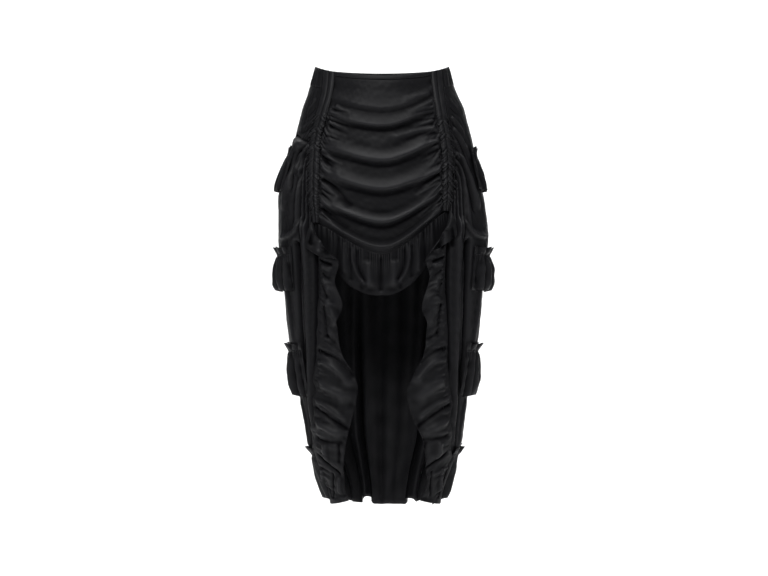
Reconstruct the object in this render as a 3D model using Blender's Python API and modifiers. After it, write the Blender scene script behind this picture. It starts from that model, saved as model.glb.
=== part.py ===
"""High-low ruffle skirt, worn and held open at the waist.

A ruched front panel hangs between two drawn casings. Draped side panels fall from the
casings to the floor-length back, with a ruffle down each front edge, and four ruffle tiers
run round the back. Metres, +Z up, the front faces -Y. The origin is the centre of the waist
opening. Left and right are those of someone who faces the front, so right is +X.
"""

import math
from collections import namedtuple

import bmesh
import bpy
import numpy as np

# Cloth
WALL = 0.0016  # one wall of cloth
BAND_WALL = 0.0024  # waistband, cloth folded double
SEAM_GAP = 0.0010  # between the middles of pieces that are sewn edge to edge
CASING_GAP = 0.0012  # the same beside a casing, whose tubes slope at their edges
CASING_EASE = 0.0003  # more room on a casing's outer side, where the panels curve apart
LAID_GAP = 0.0009  # between a tier's stitch line and the panel under it

# Waist
WAIST_DIP = 0.030  # how much lower the centre front is than the sides
BAND_HEIGHT = 0.036
BINDING_HEIGHT = 0.007
BAND_GATHERS = 18
BAND_GATHER_DEPTH = 0.0008

# Seams, as angles round the skirt: 0 is the centre front, 180 the centre back
SIDE_SEAM = 100.0

# Casings
CASING_TUBE = 0.0030  # how far the two tubes of a casing stand out
CASING_GROOVE = 0.0004
CASING_EDGE = 0.0010
PUCKERS = 15
PUCKER_DEPTH = 0.0010
PUCKERS_START = 0.112  # how far below the waist the casing starts to pucker

# Front ruffle
FRONT_RUFFLE_WAVES = 8
FRONT_RUFFLE_WAVE = 0.0055
FRONT_RUFFLE_LEAN = 0.009
FRONT_RUFFLE_SPREAD = 0.06  # how much wider round the form it is at its free edge

# Edge ruffles
EDGE_WAVES = 14

# Back panel
BACK_FOLDS = 8

# The skirt's smooth form: half widths to the left and right, depths to the front and back
Section = namedtuple("Section", "z left right front back")
FORM = [
    Section(0.000, 0.129, 0.128, 0.096, 0.098),
    Section(-0.039, 0.140, 0.139, 0.102, 0.105),
    Section(-0.083, 0.157, 0.160, 0.110, 0.117),
    Section(-0.122, 0.166, 0.170, 0.116, 0.130),
    Section(-0.146, 0.172, 0.176, 0.119, 0.138),
    Section(-0.180, 0.184, 0.182, 0.121, 0.147),
    Section(-0.258, 0.203, 0.199, 0.124, 0.160),
    Section(-0.326, 0.203, 0.207, 0.124, 0.166),
    Section(-0.433, 0.192, 0.197, 0.119, 0.168),
    Section(-0.510, 0.185, 0.190, 0.112, 0.166),
    Section(-0.638, 0.162, 0.167, 0.095, 0.161),
    Section(-0.724, 0.146, 0.156, 0.082, 0.157),
    Section(-0.765, 0.128, 0.138, 0.076, 0.154),
    Section(-0.825, 0.103, 0.115, 0.068, 0.150),
    Section(-0.870, 0.094, 0.106, 0.064, 0.148),
]

# Where each casing lies: distance of its inner and outer edges from the centre line
Casing = namedtuple("Casing", "z inner outer")
CASINGS = {
    "left": [
        Casing(-0.010, 0.088, 0.114),
        Casing(-0.053, 0.092, 0.117),
        Casing(-0.106, 0.105, 0.130),
        Casing(-0.155, 0.116, 0.140),
        Casing(-0.205, 0.118, 0.142),
        Casing(-0.258, 0.119, 0.141),
        Casing(-0.302, 0.119, 0.131),
    ],
    "right": [
        Casing(-0.010, 0.091, 0.117),
        Casing(-0.053, 0.095, 0.120),
        Casing(-0.106, 0.103, 0.127),
        Casing(-0.155, 0.110, 0.134),
        Casing(-0.205, 0.113, 0.138),
        Casing(-0.250, 0.113, 0.135),
        Casing(-0.280, 0.114, 0.127),
    ],
}

# The front edge of each side panel below its casing: distance from the centre line
Edge = namedtuple("Edge", "z across")
FRONT_EDGES = {
    "left": [
        Edge(-0.360, 0.119),
        Edge(-0.440, 0.116),
        Edge(-0.600, 0.116),
        Edge(-0.700, 0.114),
        Edge(-0.780, 0.104),
        Edge(-0.850, 0.090),
    ],
    "right": [
        Edge(-0.345, 0.119),
        Edge(-0.440, 0.116),
        Edge(-0.600, 0.116),
        Edge(-0.700, 0.116),
        Edge(-0.780, 0.110),
        Edge(-0.850, 0.096),
    ],
}

# Height of the hem round the skirt, from the front edge on the right to that on the left.
# The middle of the back hangs a little lower, between two notches.
Hem = namedtuple("Hem", "angle z")
HEM = [
    Hem(40.0, -0.848),
    Hem(62.0, -0.845),
    Hem(90.0, -0.830),
    Hem(120.0, -0.845),
    Hem(140.0, -0.858),
    Hem(147.0, -0.851),
    Hem(155.0, -0.866),
    Hem(190.0, -0.867),
    Hem(199.0, -0.850),
    Hem(212.0, -0.860),
    Hem(240.0, -0.846),
    Hem(270.0, -0.830),
    Hem(298.0, -0.846),
    Hem(320.0, -0.850),
]

# Levels down the front panel, from the binding to the bottom edge: the height of each swag's
# ridge at the centre and at the two casings, and how deep the hollow under it is
Level = namedtuple("Level", "centre left right hollow")
SWAGS = [
    Level(-0.038, -0.028, -0.028, 0.0030),
    Level(-0.089, -0.064, -0.052, 0.0060),
    Level(-0.123, -0.099, -0.081, 0.0110),
    Level(-0.188, -0.152, -0.141, 0.0120),
    Level(-0.242, -0.206, -0.199, 0.0120),
    Level(-0.304, -0.262, -0.242, 0.0130),
    Level(-0.352, -0.294, -0.270, 0.0000),
    Level(-0.366, -0.306, -0.284, 0.0000),
]
HOLLOW_AT_CASING = 0.0022
LAST_TUCK = 0.010  # how far the panel's bottom edge turns in

# Long folds of a side panel: where each hollow runs, as shares of the way from the front
# edge to the side seam at waist and hem, its width as such a share, and its depth at the hem
Fold = namedtuple("Fold", "top hem width depth")
SIDE_FOLDS = [
    Fold(0.05, 0.12, 0.070, 0.011),
    Fold(0.14, 0.38, 0.085, 0.013),
    Fold(0.30, 0.60, 0.085, 0.010),
    Fold(0.55, 0.80, 0.080, 0.012),
]

# The front ruffle's length, from the centre (0) to the casings (1)
Fall = namedtuple("Fall", "across length")
FRONT_FALLS = [
    Fall(0.00, 0.077),
    Fall(0.33, 0.083),
    Fall(0.50, 0.084),
    Fall(0.64, 0.078),
    Fall(0.75, 0.068),
    Fall(1.00, 0.054),
]

# The ruffle down a side panel's front edge: for each height on its seam, how far the free
# edge reaches inwards, how far it drops below the seam, how far it stands forward, how deep
# its waves are, and how far the seam itself lies in front of the panel's edge. At the top the
# ruffle fans outwards over the panel.
Reach = namedtuple("Reach", "z inwards drop forward wave lift")
EDGE_RUFFLES = {
    "left": [
        Reach(-0.310, -0.014, 0.042, 0.010, 0.0005, 0.0038),
        Reach(-0.327, 0.000, 0.041, 0.010, 0.0008, 0.0038),
        Reach(-0.353, 0.022, 0.034, 0.009, 0.0006, 0.0036),
        Reach(-0.388, 0.029, 0.029, 0.008, 0.0025, 0.0020),
        Reach(-0.430, 0.044, 0.030, 0.010, 0.006, 0.0),
        Reach(-0.465, 0.034, 0.030, 0.008, 0.006, 0.0),
        Reach(-0.510, 0.038, 0.030, 0.006, 0.007, 0.0),
        Reach(-0.590, 0.070, 0.028, 0.002, 0.010, 0.0),
        Reach(-0.640, 0.061, 0.026, 0.000, 0.009, 0.0),
        Reach(-0.690, 0.048, 0.022, 0.000, 0.008, 0.0),
        Reach(-0.760, 0.034, 0.014, 0.000, 0.007, 0.0),
        Reach(-0.845, 0.026, 0.002, 0.000, 0.005, 0.0),
    ],
    "right": [
        Reach(-0.288, -0.014, 0.042, 0.010, 0.0005, 0.0038),
        Reach(-0.305, 0.001, 0.041, 0.010, 0.0008, 0.0038),
        Reach(-0.332, 0.023, 0.034, 0.009, 0.0008, 0.0036),
        Reach(-0.370, 0.029, 0.029, 0.008, 0.0025, 0.0020),
        Reach(-0.435, 0.044, 0.030, 0.010, 0.006, 0.0),
        Reach(-0.470, 0.034, 0.030, 0.008, 0.006, 0.0),
        Reach(-0.520, 0.038, 0.030, 0.006, 0.007, 0.0),
        Reach(-0.600, 0.070, 0.028, 0.002, 0.010, 0.0),
        Reach(-0.645, 0.058, 0.026, 0.000, 0.009, 0.0),
        Reach(-0.700, 0.036, 0.022, 0.000, 0.008, 0.0),
        Reach(-0.770, 0.027, 0.014, 0.000, 0.006, 0.0),
        Reach(-0.845, 0.024, 0.002, 0.000, 0.005, 0.0),
    ],
}

# The four ruffle tiers round the back: height of the stitch line at the side, how far it
# sags at the centre back, where the tier ends at the left and right, its length, how much of
# the full stand and wave it has at its ends, and its number of waves
Tier = namedtuple("Tier", "z sag left right length ends waves")
TIERS = {
    "tier_1": Tier(-0.172, 0.010, 82.0, 78.0, 0.069, 0.10, 18),
    "tier_2": Tier(-0.366, 0.012, 58.0, 57.0, 0.068, 0.70, 24),
    "tier_3": Tier(-0.551, 0.012, 57.0, 59.0, 0.085, 0.60, 22),
    "tier_4": Tier(-0.752, 0.010, 66.0, 66.0, 0.084, 0.65, 16),
}

# Down a tier: share of the flounce below the stitch line (the heading is above it), how far
# the cloth stands off there beyond its stitch line, and how deep its waves are each way
Row = namedtuple("Row", "below stand wave")
HEADING_HEIGHT = 0.015
TIER_ROWS = [
    Row(-1.0, 0.0050, 0.0038),
    Row(0.0, 0.0, 0.0),
    Row(0.45, 0.0090, 0.0070),
    Row(1.0, 0.0110, 0.0090),
]

SAMPLES_PER_WAVE = 4


def read_table(rows, key, column, at):
    """A column's value between a table's rows, on a smooth curve that never overshoots."""
    x = np.array([getattr(row, key) for row in rows])
    y = np.array([getattr(row, column) for row in rows])
    order = np.argsort(x)
    x, y = x[order], y[order]
    step = np.diff(x)
    rise = np.diff(y) / step
    slope = np.zeros_like(y)
    slope[0], slope[-1] = rise[0], rise[-1]
    same_way = rise[:-1] * rise[1:] > 0
    total = np.where(same_way, rise[:-1] + rise[1:], 1.0)
    slope[1:-1] = np.where(same_way, 2 * rise[:-1] * rise[1:] / total, 0.0)
    at = np.clip(at, x[0], x[-1])
    i = np.clip(np.searchsorted(x, at) - 1, 0, len(step) - 1)
    t = (at - x[i]) / step[i]
    start = (2 * t**3 - 3 * t**2 + 1) * y[i] + (t**3 - 2 * t**2 + t) * step[i] * slope[i]
    end = (3 * t**2 - 2 * t**3) * y[i + 1] + (t**3 - t**2) * step[i] * slope[i + 1]
    return start + end


def half_sizes(angle, z):
    """Half width and depth of the form at a height, on the side that the angle is on."""
    left = read_table(FORM, "z", "left", z)
    right = read_table(FORM, "z", "right", z)
    front = read_table(FORM, "z", "front", z)
    back = read_table(FORM, "z", "back", z)
    width = np.where(np.sin(angle) < 0, left, right)
    depth = np.where(np.cos(angle) > 0, front, back)
    return width, depth


def form_point(angle, z, out):
    """Points on the form at an angle and a height, moved outwards level with the floor."""
    width, depth = half_sizes(angle, z)
    normal_x = depth * np.sin(angle)
    normal_y = -width * np.cos(angle)
    size = np.hypot(normal_x, normal_y)
    x = width * np.sin(angle) + out * normal_x / size
    y = -depth * np.cos(angle) + out * normal_y / size
    return np.stack([x, y, z], axis=-1)


def angle_at(across, z, side):
    """The angle of the form's point that lies this far from the centre line, at the front."""
    width = read_table(FORM, "z", side, z)
    return np.arcsin(across / width) * direction(side)


def direction(side):
    return 1.0 if side == "right" else -1.0


def waist_height(angle):
    return -WAIST_DIP * np.maximum(np.cos(angle), 0.0) ** 1.5


def hem_height(angle):
    return read_table(HEM, "angle", "z", np.degrees(angle) % 360.0)


def side_edge(z, side):
    """How far from the centre line a side panel's front edge runs: casing, then free edge."""
    beside_casing = [Edge(row.z, row.outer + CASING_EASE) for row in CASINGS[side]]
    return read_table(beside_casing + FRONT_EDGES[side], "z", "across", z)


def mix(first, last, share):
    return first + (last - first) * share


def cloth_wall(name, pattern, columns, rows, wall, cloth, collection):
    """A cloth piece: a flat grid bent to its pattern, then given a wall on both sides.

    The edge ruffles twist, so their wall follows the points' own directions.
    """
    grid = bmesh.new()
    bmesh.ops.create_grid(grid, x_segments=columns, y_segments=rows, size=0.5)
    flat = np.array([vertex.co for vertex in grid.verts])
    bent = pattern(flat[:, 0] + 0.5, 0.5 - flat[:, 1])
    for vertex, place in zip(grid.verts, bent):
        vertex.co = place
    mesh = bpy.data.meshes.new(name)
    grid.to_mesh(mesh)
    grid.free()
    mesh.materials.append(cloth)
    mesh.shade_smooth()
    piece = bpy.data.objects.new(name, mesh)
    collection.objects.link(piece)
    solidify = piece.modifiers.new("Wall", "SOLIDIFY")
    solidify.thickness = wall
    solidify.offset = 0.0
    solidify.use_even_offset = not name.startswith("edge_ruffle")
    return piece


def make_cloth(name, colour, roughness):
    material = bpy.data.materials.new(name)
    material.use_nodes = True
    shader = material.node_tree.nodes["Principled BSDF"]
    shader.inputs["Base Color"].default_value = (*colour, 1.0)
    shader.inputs["Roughness"].default_value = roughness
    shader.inputs["Metallic"].default_value = 0.0
    return material


def band_angles(u, v, first, last, height):
    """Angles along a strip at the waist, from one casing's edge to another's, and heights."""
    ends = []
    for side, column in (first, last):
        rows = CASINGS[side]
        start = angle_at(read_table(rows, "z", column, rows[0].z), rows[0].z, side)
        z = waist_height(start) - height * v
        ends.append(angle_at(read_table(rows, "z", column, z), z, side))
    turn = 2 * math.pi if column == "outer" else 0.0
    angle = mix(ends[0], ends[1] + turn, u)
    return angle, waist_height(angle) - height * v


def binding_pattern(u, v):
    """The narrow bound edge across the top of the front panel."""
    angle, z = band_angles(u, v, ("left", "inner"), ("right", "inner"), BINDING_HEIGHT)
    return form_point(angle, z, 0.0)


def waistband_pattern(u, v):
    """The gathered band round the sides and back."""
    angle, z = band_angles(u, v, ("right", "outer"), ("left", "outer"), BAND_HEIGHT)
    gathers = np.cos(2 * math.pi * BAND_GATHERS * u) * np.sin(math.pi * v)
    return form_point(angle, z, BAND_GATHER_DEPTH * gathers)


def swag_bow(level, s):
    """How far up from the lowest point to the casing a swag is: straight sides, a round foot."""
    round_part = mix(0.6, 0.3, np.clip(level / 3, 0, 1))
    rise = np.hypot(s, round_part) - round_part
    return rise / (np.hypot(1, round_part) - round_part)


def swag_heights(level, s):
    """Height on the front panel at a level, s from -1 at the left casing to 1 at the right."""
    rows = [Level(i, row.left, row.right, 0.0) for i, row in enumerate(SWAGS)]
    middles = [Edge(i, row.centre) for i, row in enumerate(SWAGS)]
    left = read_table(rows, "centre", "left", level)
    right = read_table(rows, "centre", "right", level)
    middle = read_table(middles, "z", "across", level)
    end = np.where(s < 0, left, right)
    return mix(middle, end, swag_bow(level, s)), end


def front_panel_pattern(u, v):
    """The ruched panel: swags whose ridges sag between the casings, hollow under each."""
    s = 2 * u - 1
    level = v * (len(SWAGS) - 1)
    below = np.minimum(level.astype(int), len(SWAGS) - 2)
    part = level - below
    z, end = swag_heights(level, s)
    angle_left = angle_at(read_table(CASINGS["left"], "z", "inner", end), end, "left")
    angle_right = angle_at(read_table(CASINGS["right"], "z", "inner", end), end, "right")
    angle = np.abs(s) * np.where(s < 0, angle_left, angle_right)
    z = np.where(v == 0, waist_height(angle) - BINDING_HEIGHT - SEAM_GAP, z)
    depth = np.array([row.hollow for row in SWAGS])[below]
    at_edge = np.abs(s) ** 3
    depth = mix(depth, np.minimum(depth, HOLLOW_AT_CASING), at_edge)
    hollow = depth * np.sin(math.pi * part**0.7)
    turn = np.clip(level - (len(SWAGS) - 2), 0, 1)
    tuck = LAST_TUCK * (1 - 0.6 * at_edge) * turn**2 * (3 - 2 * turn)
    return form_point(angle, z, -hollow - tuck)


def front_ruffle_pattern(u, v):
    """The gathered flounce that hangs from the front panel's bottom edge."""
    s = 2 * u - 1
    z, end = swag_heights(np.full_like(u, len(SWAGS) - 1), s)
    angle_left = angle_at(read_table(CASINGS["left"], "z", "inner", end), end, "left")
    angle_right = angle_at(read_table(CASINGS["right"], "z", "inner", end), end, "right")
    angle = np.abs(s) * np.where(s < 0, angle_left, angle_right)
    angle *= 1 + FRONT_RUFFLE_SPREAD * v
    tucked = LAST_TUCK * (1 - 0.6 * np.abs(s) ** 3)
    waves = np.cos(2 * math.pi * FRONT_RUFFLE_WAVES * u)
    out = -tucked - FRONT_RUFFLE_LEAN * v + FRONT_RUFFLE_WAVE * waves * v
    length = read_table(FRONT_FALLS, "across", "length", np.abs(s))
    return form_point(angle, z - SEAM_GAP - length * v, out)


def casing_pattern(side):
    """A drawn casing: two tubes beside a stitched groove, puckered where it is gathered."""
    rows = CASINGS[side]
    last = rows[-1].z
    profile = np.array([CASING_EDGE, CASING_TUBE, CASING_GROOVE, CASING_TUBE, CASING_EDGE])

    def pattern(u, v):
        start = waist_height(angle_at(mix(rows[0].inner, rows[0].outer, u), rows[0].z, side))
        z = mix(start, last, v)
        inner = read_table(rows, "z", "inner", z) + CASING_GAP
        outer = read_table(rows, "z", "outer", z) - CASING_GAP
        angle = angle_at(mix(inner, outer, u), z, side)
        tubes = profile[np.rint(u * 4).astype(int)]
        drawn = np.clip((-PUCKERS_START - z) / 0.02, 0, 1)
        turns = PUCKERS * (-PUCKERS_START - z) / (-PUCKERS_START - last)
        pucker = PUCKER_DEPTH * drawn * np.cos(2 * math.pi * turns)
        return form_point(angle, z, tubes + pucker)

    return pattern


def side_panel_pattern(side):
    """A draped side panel, from the casing and the free front edge to the side seam."""
    seam = math.radians(SIDE_SEAM) * direction(side)
    band_end = -0.05

    def pattern(u, v):
        across = u**1.25  # closer columns near the casing, where the gathers are
        top_front = angle_at(side_edge(band_end, side), band_end, side)
        hem_front = angle_at(side_edge(-0.85, side), -0.85, side)
        top = waist_height(mix(top_front, seam, across)) - BAND_HEIGHT - SEAM_GAP
        hem = hem_height(mix(hem_front, seam, across))
        down = v**1.15  # closer rows beside the casing
        z = mix(top, hem, down)
        front = angle_at(side_edge(z, side), z, side)
        angle = mix(front, seam, across)
        grown = np.clip((down - 0.04) / 0.40, 0, 1) ** 0.8
        narrowed = (read_table(FORM, "z", side, z) / FORM[7].right) ** 2
        out = np.zeros_like(u)
        for fold in SIDE_FOLDS:
            centre = mix(fold.top, fold.hem, down**0.6)
            shape = np.exp(-(((across - centre) / fold.width) ** 2))
            out -= fold.depth * grown * narrowed * shape
        out *= np.clip((1 - across) / 0.06, 0, 1) * np.clip(across / 0.08, 0, 1)
        return form_point(angle, z, out)

    return pattern


def back_panel_pattern(u, v):
    """The long back, with soft folds that deepen towards the hem."""
    seam = math.radians(SIDE_SEAM) + SEAM_GAP / FORM[0].back
    angle = mix(seam, 2 * math.pi - seam, u)
    top = waist_height(angle) - BAND_HEIGHT - SEAM_GAP
    z = mix(top, hem_height(angle), v)
    depth = mix(0.002, 0.015, v**1.2)
    wave = 0.5 - 0.5 * np.cos(2 * math.pi * BACK_FOLDS * u)
    return form_point(angle, z, -depth * wave)


def edge_ruffle_pattern(side):
    """The ruffle down a front edge: drooping waves that grow towards its free edge."""
    rows = EDGE_RUFFLES[side]

    def pattern(u, v):
        seam = mix(rows[0].z, rows[-1].z, u)
        inwards = read_table(rows, "z", "inwards", seam)
        drop = read_table(rows, "z", "drop", seam)
        forward = read_table(rows, "z", "forward", seam)
        wave = read_table(rows, "z", "wave", seam)
        lift = read_table(rows, "z", "lift", seam)
        across = side_edge(seam, side) - CASING_GAP
        z = seam - drop * v**1.3
        start = angle_at(across, seam, side)
        free = angle_at(np.maximum(across - inwards, 0.02), z, side)
        waves = np.cos(2 * math.pi * EDGE_WAVES * u) * wave * v
        return form_point(mix(start, free, v), z, mix(lift, forward, v) + waves)

    return pattern


def tier_pattern(tier):
    """A ruffle tier: a heading above its stitch line, a flounce below, waves in both."""

    def pattern(u, v):
        angle = np.radians(mix(tier.right, 360.0 - tier.left, u))
        row = np.rint(v * (len(TIER_ROWS) - 1)).astype(int)
        below = np.array([r.below for r in TIER_ROWS])[row]
        stand = np.array([r.stand for r in TIER_ROWS])[row]
        depth = np.array([r.wave for r in TIER_ROWS])[row]
        stitch = tier.z - tier.sag * np.maximum(-np.cos(angle), 0) ** 2
        length = np.where(below < 0, HEADING_HEIGHT, tier.length)
        waves = np.cos(2 * math.pi * tier.waves * u)
        fullness = mix(tier.ends, 1.0, np.sin(math.pi * u) ** 1.2)
        out = WALL + LAID_GAP + fullness * (stand + depth * waves)
        return form_point(angle, stitch - below * length, out)

    return pattern


def build():
    for old in list(bpy.data.objects):
        bpy.data.objects.remove(old, do_unlink=True)
    skirt = bpy.data.collections.new("ruffle_skirt")
    bpy.context.scene.collection.children.link(skirt)
    satin = make_cloth("black_satin", (0.013, 0.013, 0.015), 0.55)
    ruffle = make_cloth("black_ruffle_cloth", (0.017, 0.017, 0.019), 0.6)

    cloth_wall("waistband", waistband_pattern, 44, 2, BAND_WALL, satin, skirt)
    cloth_wall("front_binding", binding_pattern, 12, 1, BAND_WALL, satin, skirt)
    cloth_wall("front_panel", front_panel_pattern, 12, 35, WALL, satin, skirt)
    cloth_wall(
        "front_ruffle",
        front_ruffle_pattern,
        FRONT_RUFFLE_WAVES * SAMPLES_PER_WAVE,
        3,
        WALL,
        ruffle,
        skirt,
    )
    for side in ("left", "right"):
        cloth_wall("casing_" + side, casing_pattern(side), 4, 45, WALL, satin, skirt)
        cloth_wall("side_panel_" + side, side_panel_pattern(side), 16, 26, WALL, satin, skirt)
        cloth_wall(
            "edge_ruffle_" + side,
            edge_ruffle_pattern(side),
            EDGE_WAVES * SAMPLES_PER_WAVE,
            3,
            WALL,
            ruffle,
            skirt,
        )
    cloth_wall("back_panel", back_panel_pattern, BACK_FOLDS * 4, 17, WALL, satin, skirt)
    for name, tier in TIERS.items():
        columns = tier.waves * SAMPLES_PER_WAVE
        rows = len(TIER_ROWS) - 1
        cloth_wall(name, tier_pattern(tier), columns, rows, WALL, ruffle, skirt)


build()
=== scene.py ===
"""Looks of a high-low ruffle skirt, held open at the waist as if worn.

Each cut piece is a thin shell of cloth on the form of its solid. Its swags, folds, gathers and
waves are laid on that form as soft ridges and troughs in the skirt's own sizes. Topstitching is
sewn on last. Metres, +Z up, the ruched front faces -Y, right is +X.
"""

import math
from collections import namedtuple

import bmesh
import bpy
import numpy as np
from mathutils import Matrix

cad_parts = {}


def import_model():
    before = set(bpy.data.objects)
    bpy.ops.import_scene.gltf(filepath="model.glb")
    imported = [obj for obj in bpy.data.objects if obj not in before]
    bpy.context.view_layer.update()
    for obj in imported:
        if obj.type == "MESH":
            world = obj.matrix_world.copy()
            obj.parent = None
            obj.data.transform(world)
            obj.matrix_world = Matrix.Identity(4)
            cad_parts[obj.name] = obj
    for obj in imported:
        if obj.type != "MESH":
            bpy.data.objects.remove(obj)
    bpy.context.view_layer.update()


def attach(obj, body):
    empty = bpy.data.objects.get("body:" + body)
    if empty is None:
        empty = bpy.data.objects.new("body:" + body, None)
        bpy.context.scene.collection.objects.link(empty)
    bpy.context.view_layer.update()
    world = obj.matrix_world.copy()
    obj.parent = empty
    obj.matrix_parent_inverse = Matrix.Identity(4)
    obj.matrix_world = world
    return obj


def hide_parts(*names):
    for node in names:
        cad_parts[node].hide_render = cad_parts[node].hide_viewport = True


CLOTH = 0.0010  # thickness of one layer of satin
BAND_CLOTH = 0.0020  # waistband and binding, folded double

WAIST_DIP = 0.030
BAND_HEIGHT = 0.036
BAND_GATHERS = 52
BAND_GATHER_DEPTH = 0.0011
BINDING_HEIGHT = 0.007
BINDING_OUT = 0.0006
BINDING_ROLL = 0.0007
ROUND = 0.165  # metres along the cloth for one radian round the skirt
BROAD_LUMP = 0.045  # size of the slight lumps that worn cloth keeps
FINE_LUMP = 0.012

# The weave, drawn about four times as coarse as it is so that it shows, and the cloth's and the
# thread's own unevenness
WAVE = 2 * math.pi / 20  # metres from band to band in a wave texture of scale 1
WARP_SPACING = 0.000952
WEFT_SPACING = 0.0008976
SLUBS_PER_METRE = 260.0  # slubs about 4 mm long
PATCHES_PER_METRE = 14.0  # rubbed patches about 70 mm across
PLIES_PER_METRE = 1500.0

# How far round it the cloth is compared to tell a hollow from a ridge, how deep a full hollow
# of that size is, and how much that size counts, for the painted shade in hollows and the painted
# highlight on ridges
Hollow = namedtuple("Hollow", "reach depth share")
HOLLOWS = [Hollow(0.003, 0.0018, 0.5), Hollow(0.009, 0.0055, 0.6)]

# The skirt's smooth form: half widths to the left and right, depths to the front and back
Section = namedtuple("Section", "z left right front back")
FORM = [
    Section(0.000, 0.129, 0.128, 0.096, 0.098),
    Section(-0.039, 0.140, 0.139, 0.102, 0.105),
    Section(-0.083, 0.157, 0.160, 0.110, 0.117),
    Section(-0.122, 0.166, 0.170, 0.116, 0.130),
    Section(-0.146, 0.172, 0.176, 0.119, 0.138),
    Section(-0.180, 0.184, 0.182, 0.121, 0.147),
    Section(-0.258, 0.203, 0.199, 0.124, 0.160),
    Section(-0.326, 0.203, 0.207, 0.124, 0.166),
    Section(-0.433, 0.192, 0.197, 0.119, 0.168),
    Section(-0.510, 0.185, 0.190, 0.112, 0.166),
    Section(-0.638, 0.162, 0.167, 0.095, 0.161),
    Section(-0.724, 0.146, 0.156, 0.082, 0.157),
    Section(-0.765, 0.128, 0.138, 0.076, 0.154),
    Section(-0.825, 0.103, 0.115, 0.068, 0.150),
    Section(-0.870, 0.094, 0.106, 0.064, 0.148),
]

# Where each casing lies: distance of its inner and outer edges from the centre line
Casing = namedtuple("Casing", "z inner outer")
CASINGS = {
    "left": [
        Casing(-0.010, 0.088, 0.114),
        Casing(-0.053, 0.092, 0.117),
        Casing(-0.106, 0.105, 0.130),
        Casing(-0.155, 0.116, 0.140),
        Casing(-0.205, 0.118, 0.142),
        Casing(-0.258, 0.119, 0.141),
        Casing(-0.302, 0.119, 0.131),
    ],
    "right": [
        Casing(-0.010, 0.091, 0.117),
        Casing(-0.053, 0.095, 0.120),
        Casing(-0.106, 0.103, 0.127),
        Casing(-0.155, 0.110, 0.134),
        Casing(-0.205, 0.113, 0.138),
        Casing(-0.250, 0.113, 0.135),
        Casing(-0.280, 0.114, 0.127),
    ],
}
CASING_TUBE = 0.0030  # how far a tube stands up
CASING_GROOVES = {"left": 0.0008, "right": -0.0006}  # where the groove lies on the form
CASING_MIDDLE = 0.44  # where the stitched groove between its two tubes lies, from the inner edge
CASING_TUBES = [(0.26, 0.17), (0.62, 0.17)]  # middle and half width of each, as shares
CASING_PUCKERS = {"left": 1.5, "right": 1.7}
PANEL_PUCKER = 0.0026  # how deep the puckers are on the front panel
SIDE_PUCKER = 0.0030  # and on the side panels
PUCKER_REACH = 0.016  # how far beside a casing they fade
PUCKER_START = 0.003
PUCKER_SPACING = 0.0092
PUCKER_SLANT = 1.1  # how steeply the puckers fall away on both sides of a casing

# How strongly the cloth is drawn up along each casing, from 0 to 1
Pull = namedtuple("Pull", "z strength")
PULLS = {
    "left": [
        Pull(-0.094, 0.0),
        Pull(-0.112, 0.9),
        Pull(-0.158, 1.0),
        Pull(-0.180, 0.5),
        Pull(-0.284, 0.7),
        Pull(-0.304, 0.1),
    ],
    "right": [
        Pull(-0.094, 0.0),
        Pull(-0.122, 0.8),
        Pull(-0.160, 0.6),
        Pull(-0.190, 1.0),
        Pull(-0.262, 1.0),
        Pull(-0.282, 0.1),
    ],
}

# The front edge of each side panel below its casing: distance from the centre line
Edge = namedtuple("Edge", "z across")
FRONT_EDGES = {
    "left": [
        Edge(-0.360, 0.119),
        Edge(-0.440, 0.116),
        Edge(-0.600, 0.116),
        Edge(-0.700, 0.114),
        Edge(-0.780, 0.104),
        Edge(-0.850, 0.090),
    ],
    "right": [
        Edge(-0.345, 0.119),
        Edge(-0.440, 0.116),
        Edge(-0.600, 0.116),
        Edge(-0.700, 0.116),
        Edge(-0.780, 0.110),
        Edge(-0.850, 0.096),
    ],
}

# Height of the hem round the skirt, from the front edge on the right to that on the left
Hem = namedtuple("Hem", "angle z")
HEM = [
    Hem(40.0, -0.848),
    Hem(62.0, -0.845),
    Hem(90.0, -0.830),
    Hem(120.0, -0.845),
    Hem(140.0, -0.858),
    Hem(147.0, -0.851),
    Hem(155.0, -0.866),
    Hem(190.0, -0.867),
    Hem(199.0, -0.850),
    Hem(212.0, -0.860),
    Hem(240.0, -0.846),
    Hem(270.0, -0.830),
    Hem(298.0, -0.846),
    Hem(320.0, -0.850),
]

# Levels down the front panel: height of each swag's ridge at the centre and at both casings,
# how deep the hollow under it is, the share of the way down where the hollow is deepest, and
# the share where the cloth starts to swell towards the next ridge
Swag = namedtuple("Swag", "centre left right hollow turn swell")
SWAGS = [
    Swag(-0.038, -0.028, -0.028, 0.0030, 0.50, 0.60),
    Swag(-0.089, -0.064, -0.052, 0.0065, 0.35, 0.45),
    Swag(-0.123, -0.099, -0.081, 0.0120, 0.22, 0.62),
    Swag(-0.188, -0.152, -0.141, 0.0130, 0.26, 0.50),
    Swag(-0.242, -0.206, -0.199, 0.0130, 0.24, 0.66),
    Swag(-0.304, -0.262, -0.242, 0.0140, 0.24, 0.58),
    Swag(-0.352, -0.294, -0.270, 0.0, 0.50, 0.60),
    Swag(-0.366, -0.306, -0.284, 0.0, 0.50, 0.60),
]
Level = namedtuple("Level", "number centre left right")
SWAG_END = 0.0030  # how deep a swag's hollow is at most where it meets a casing
LAST_TUCK = 0.010  # how far the panel's foot is tucked in behind its last swag
FRONT_DEPTH = 1.35  # how many times as deep as listed the front panel's creases are

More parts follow.
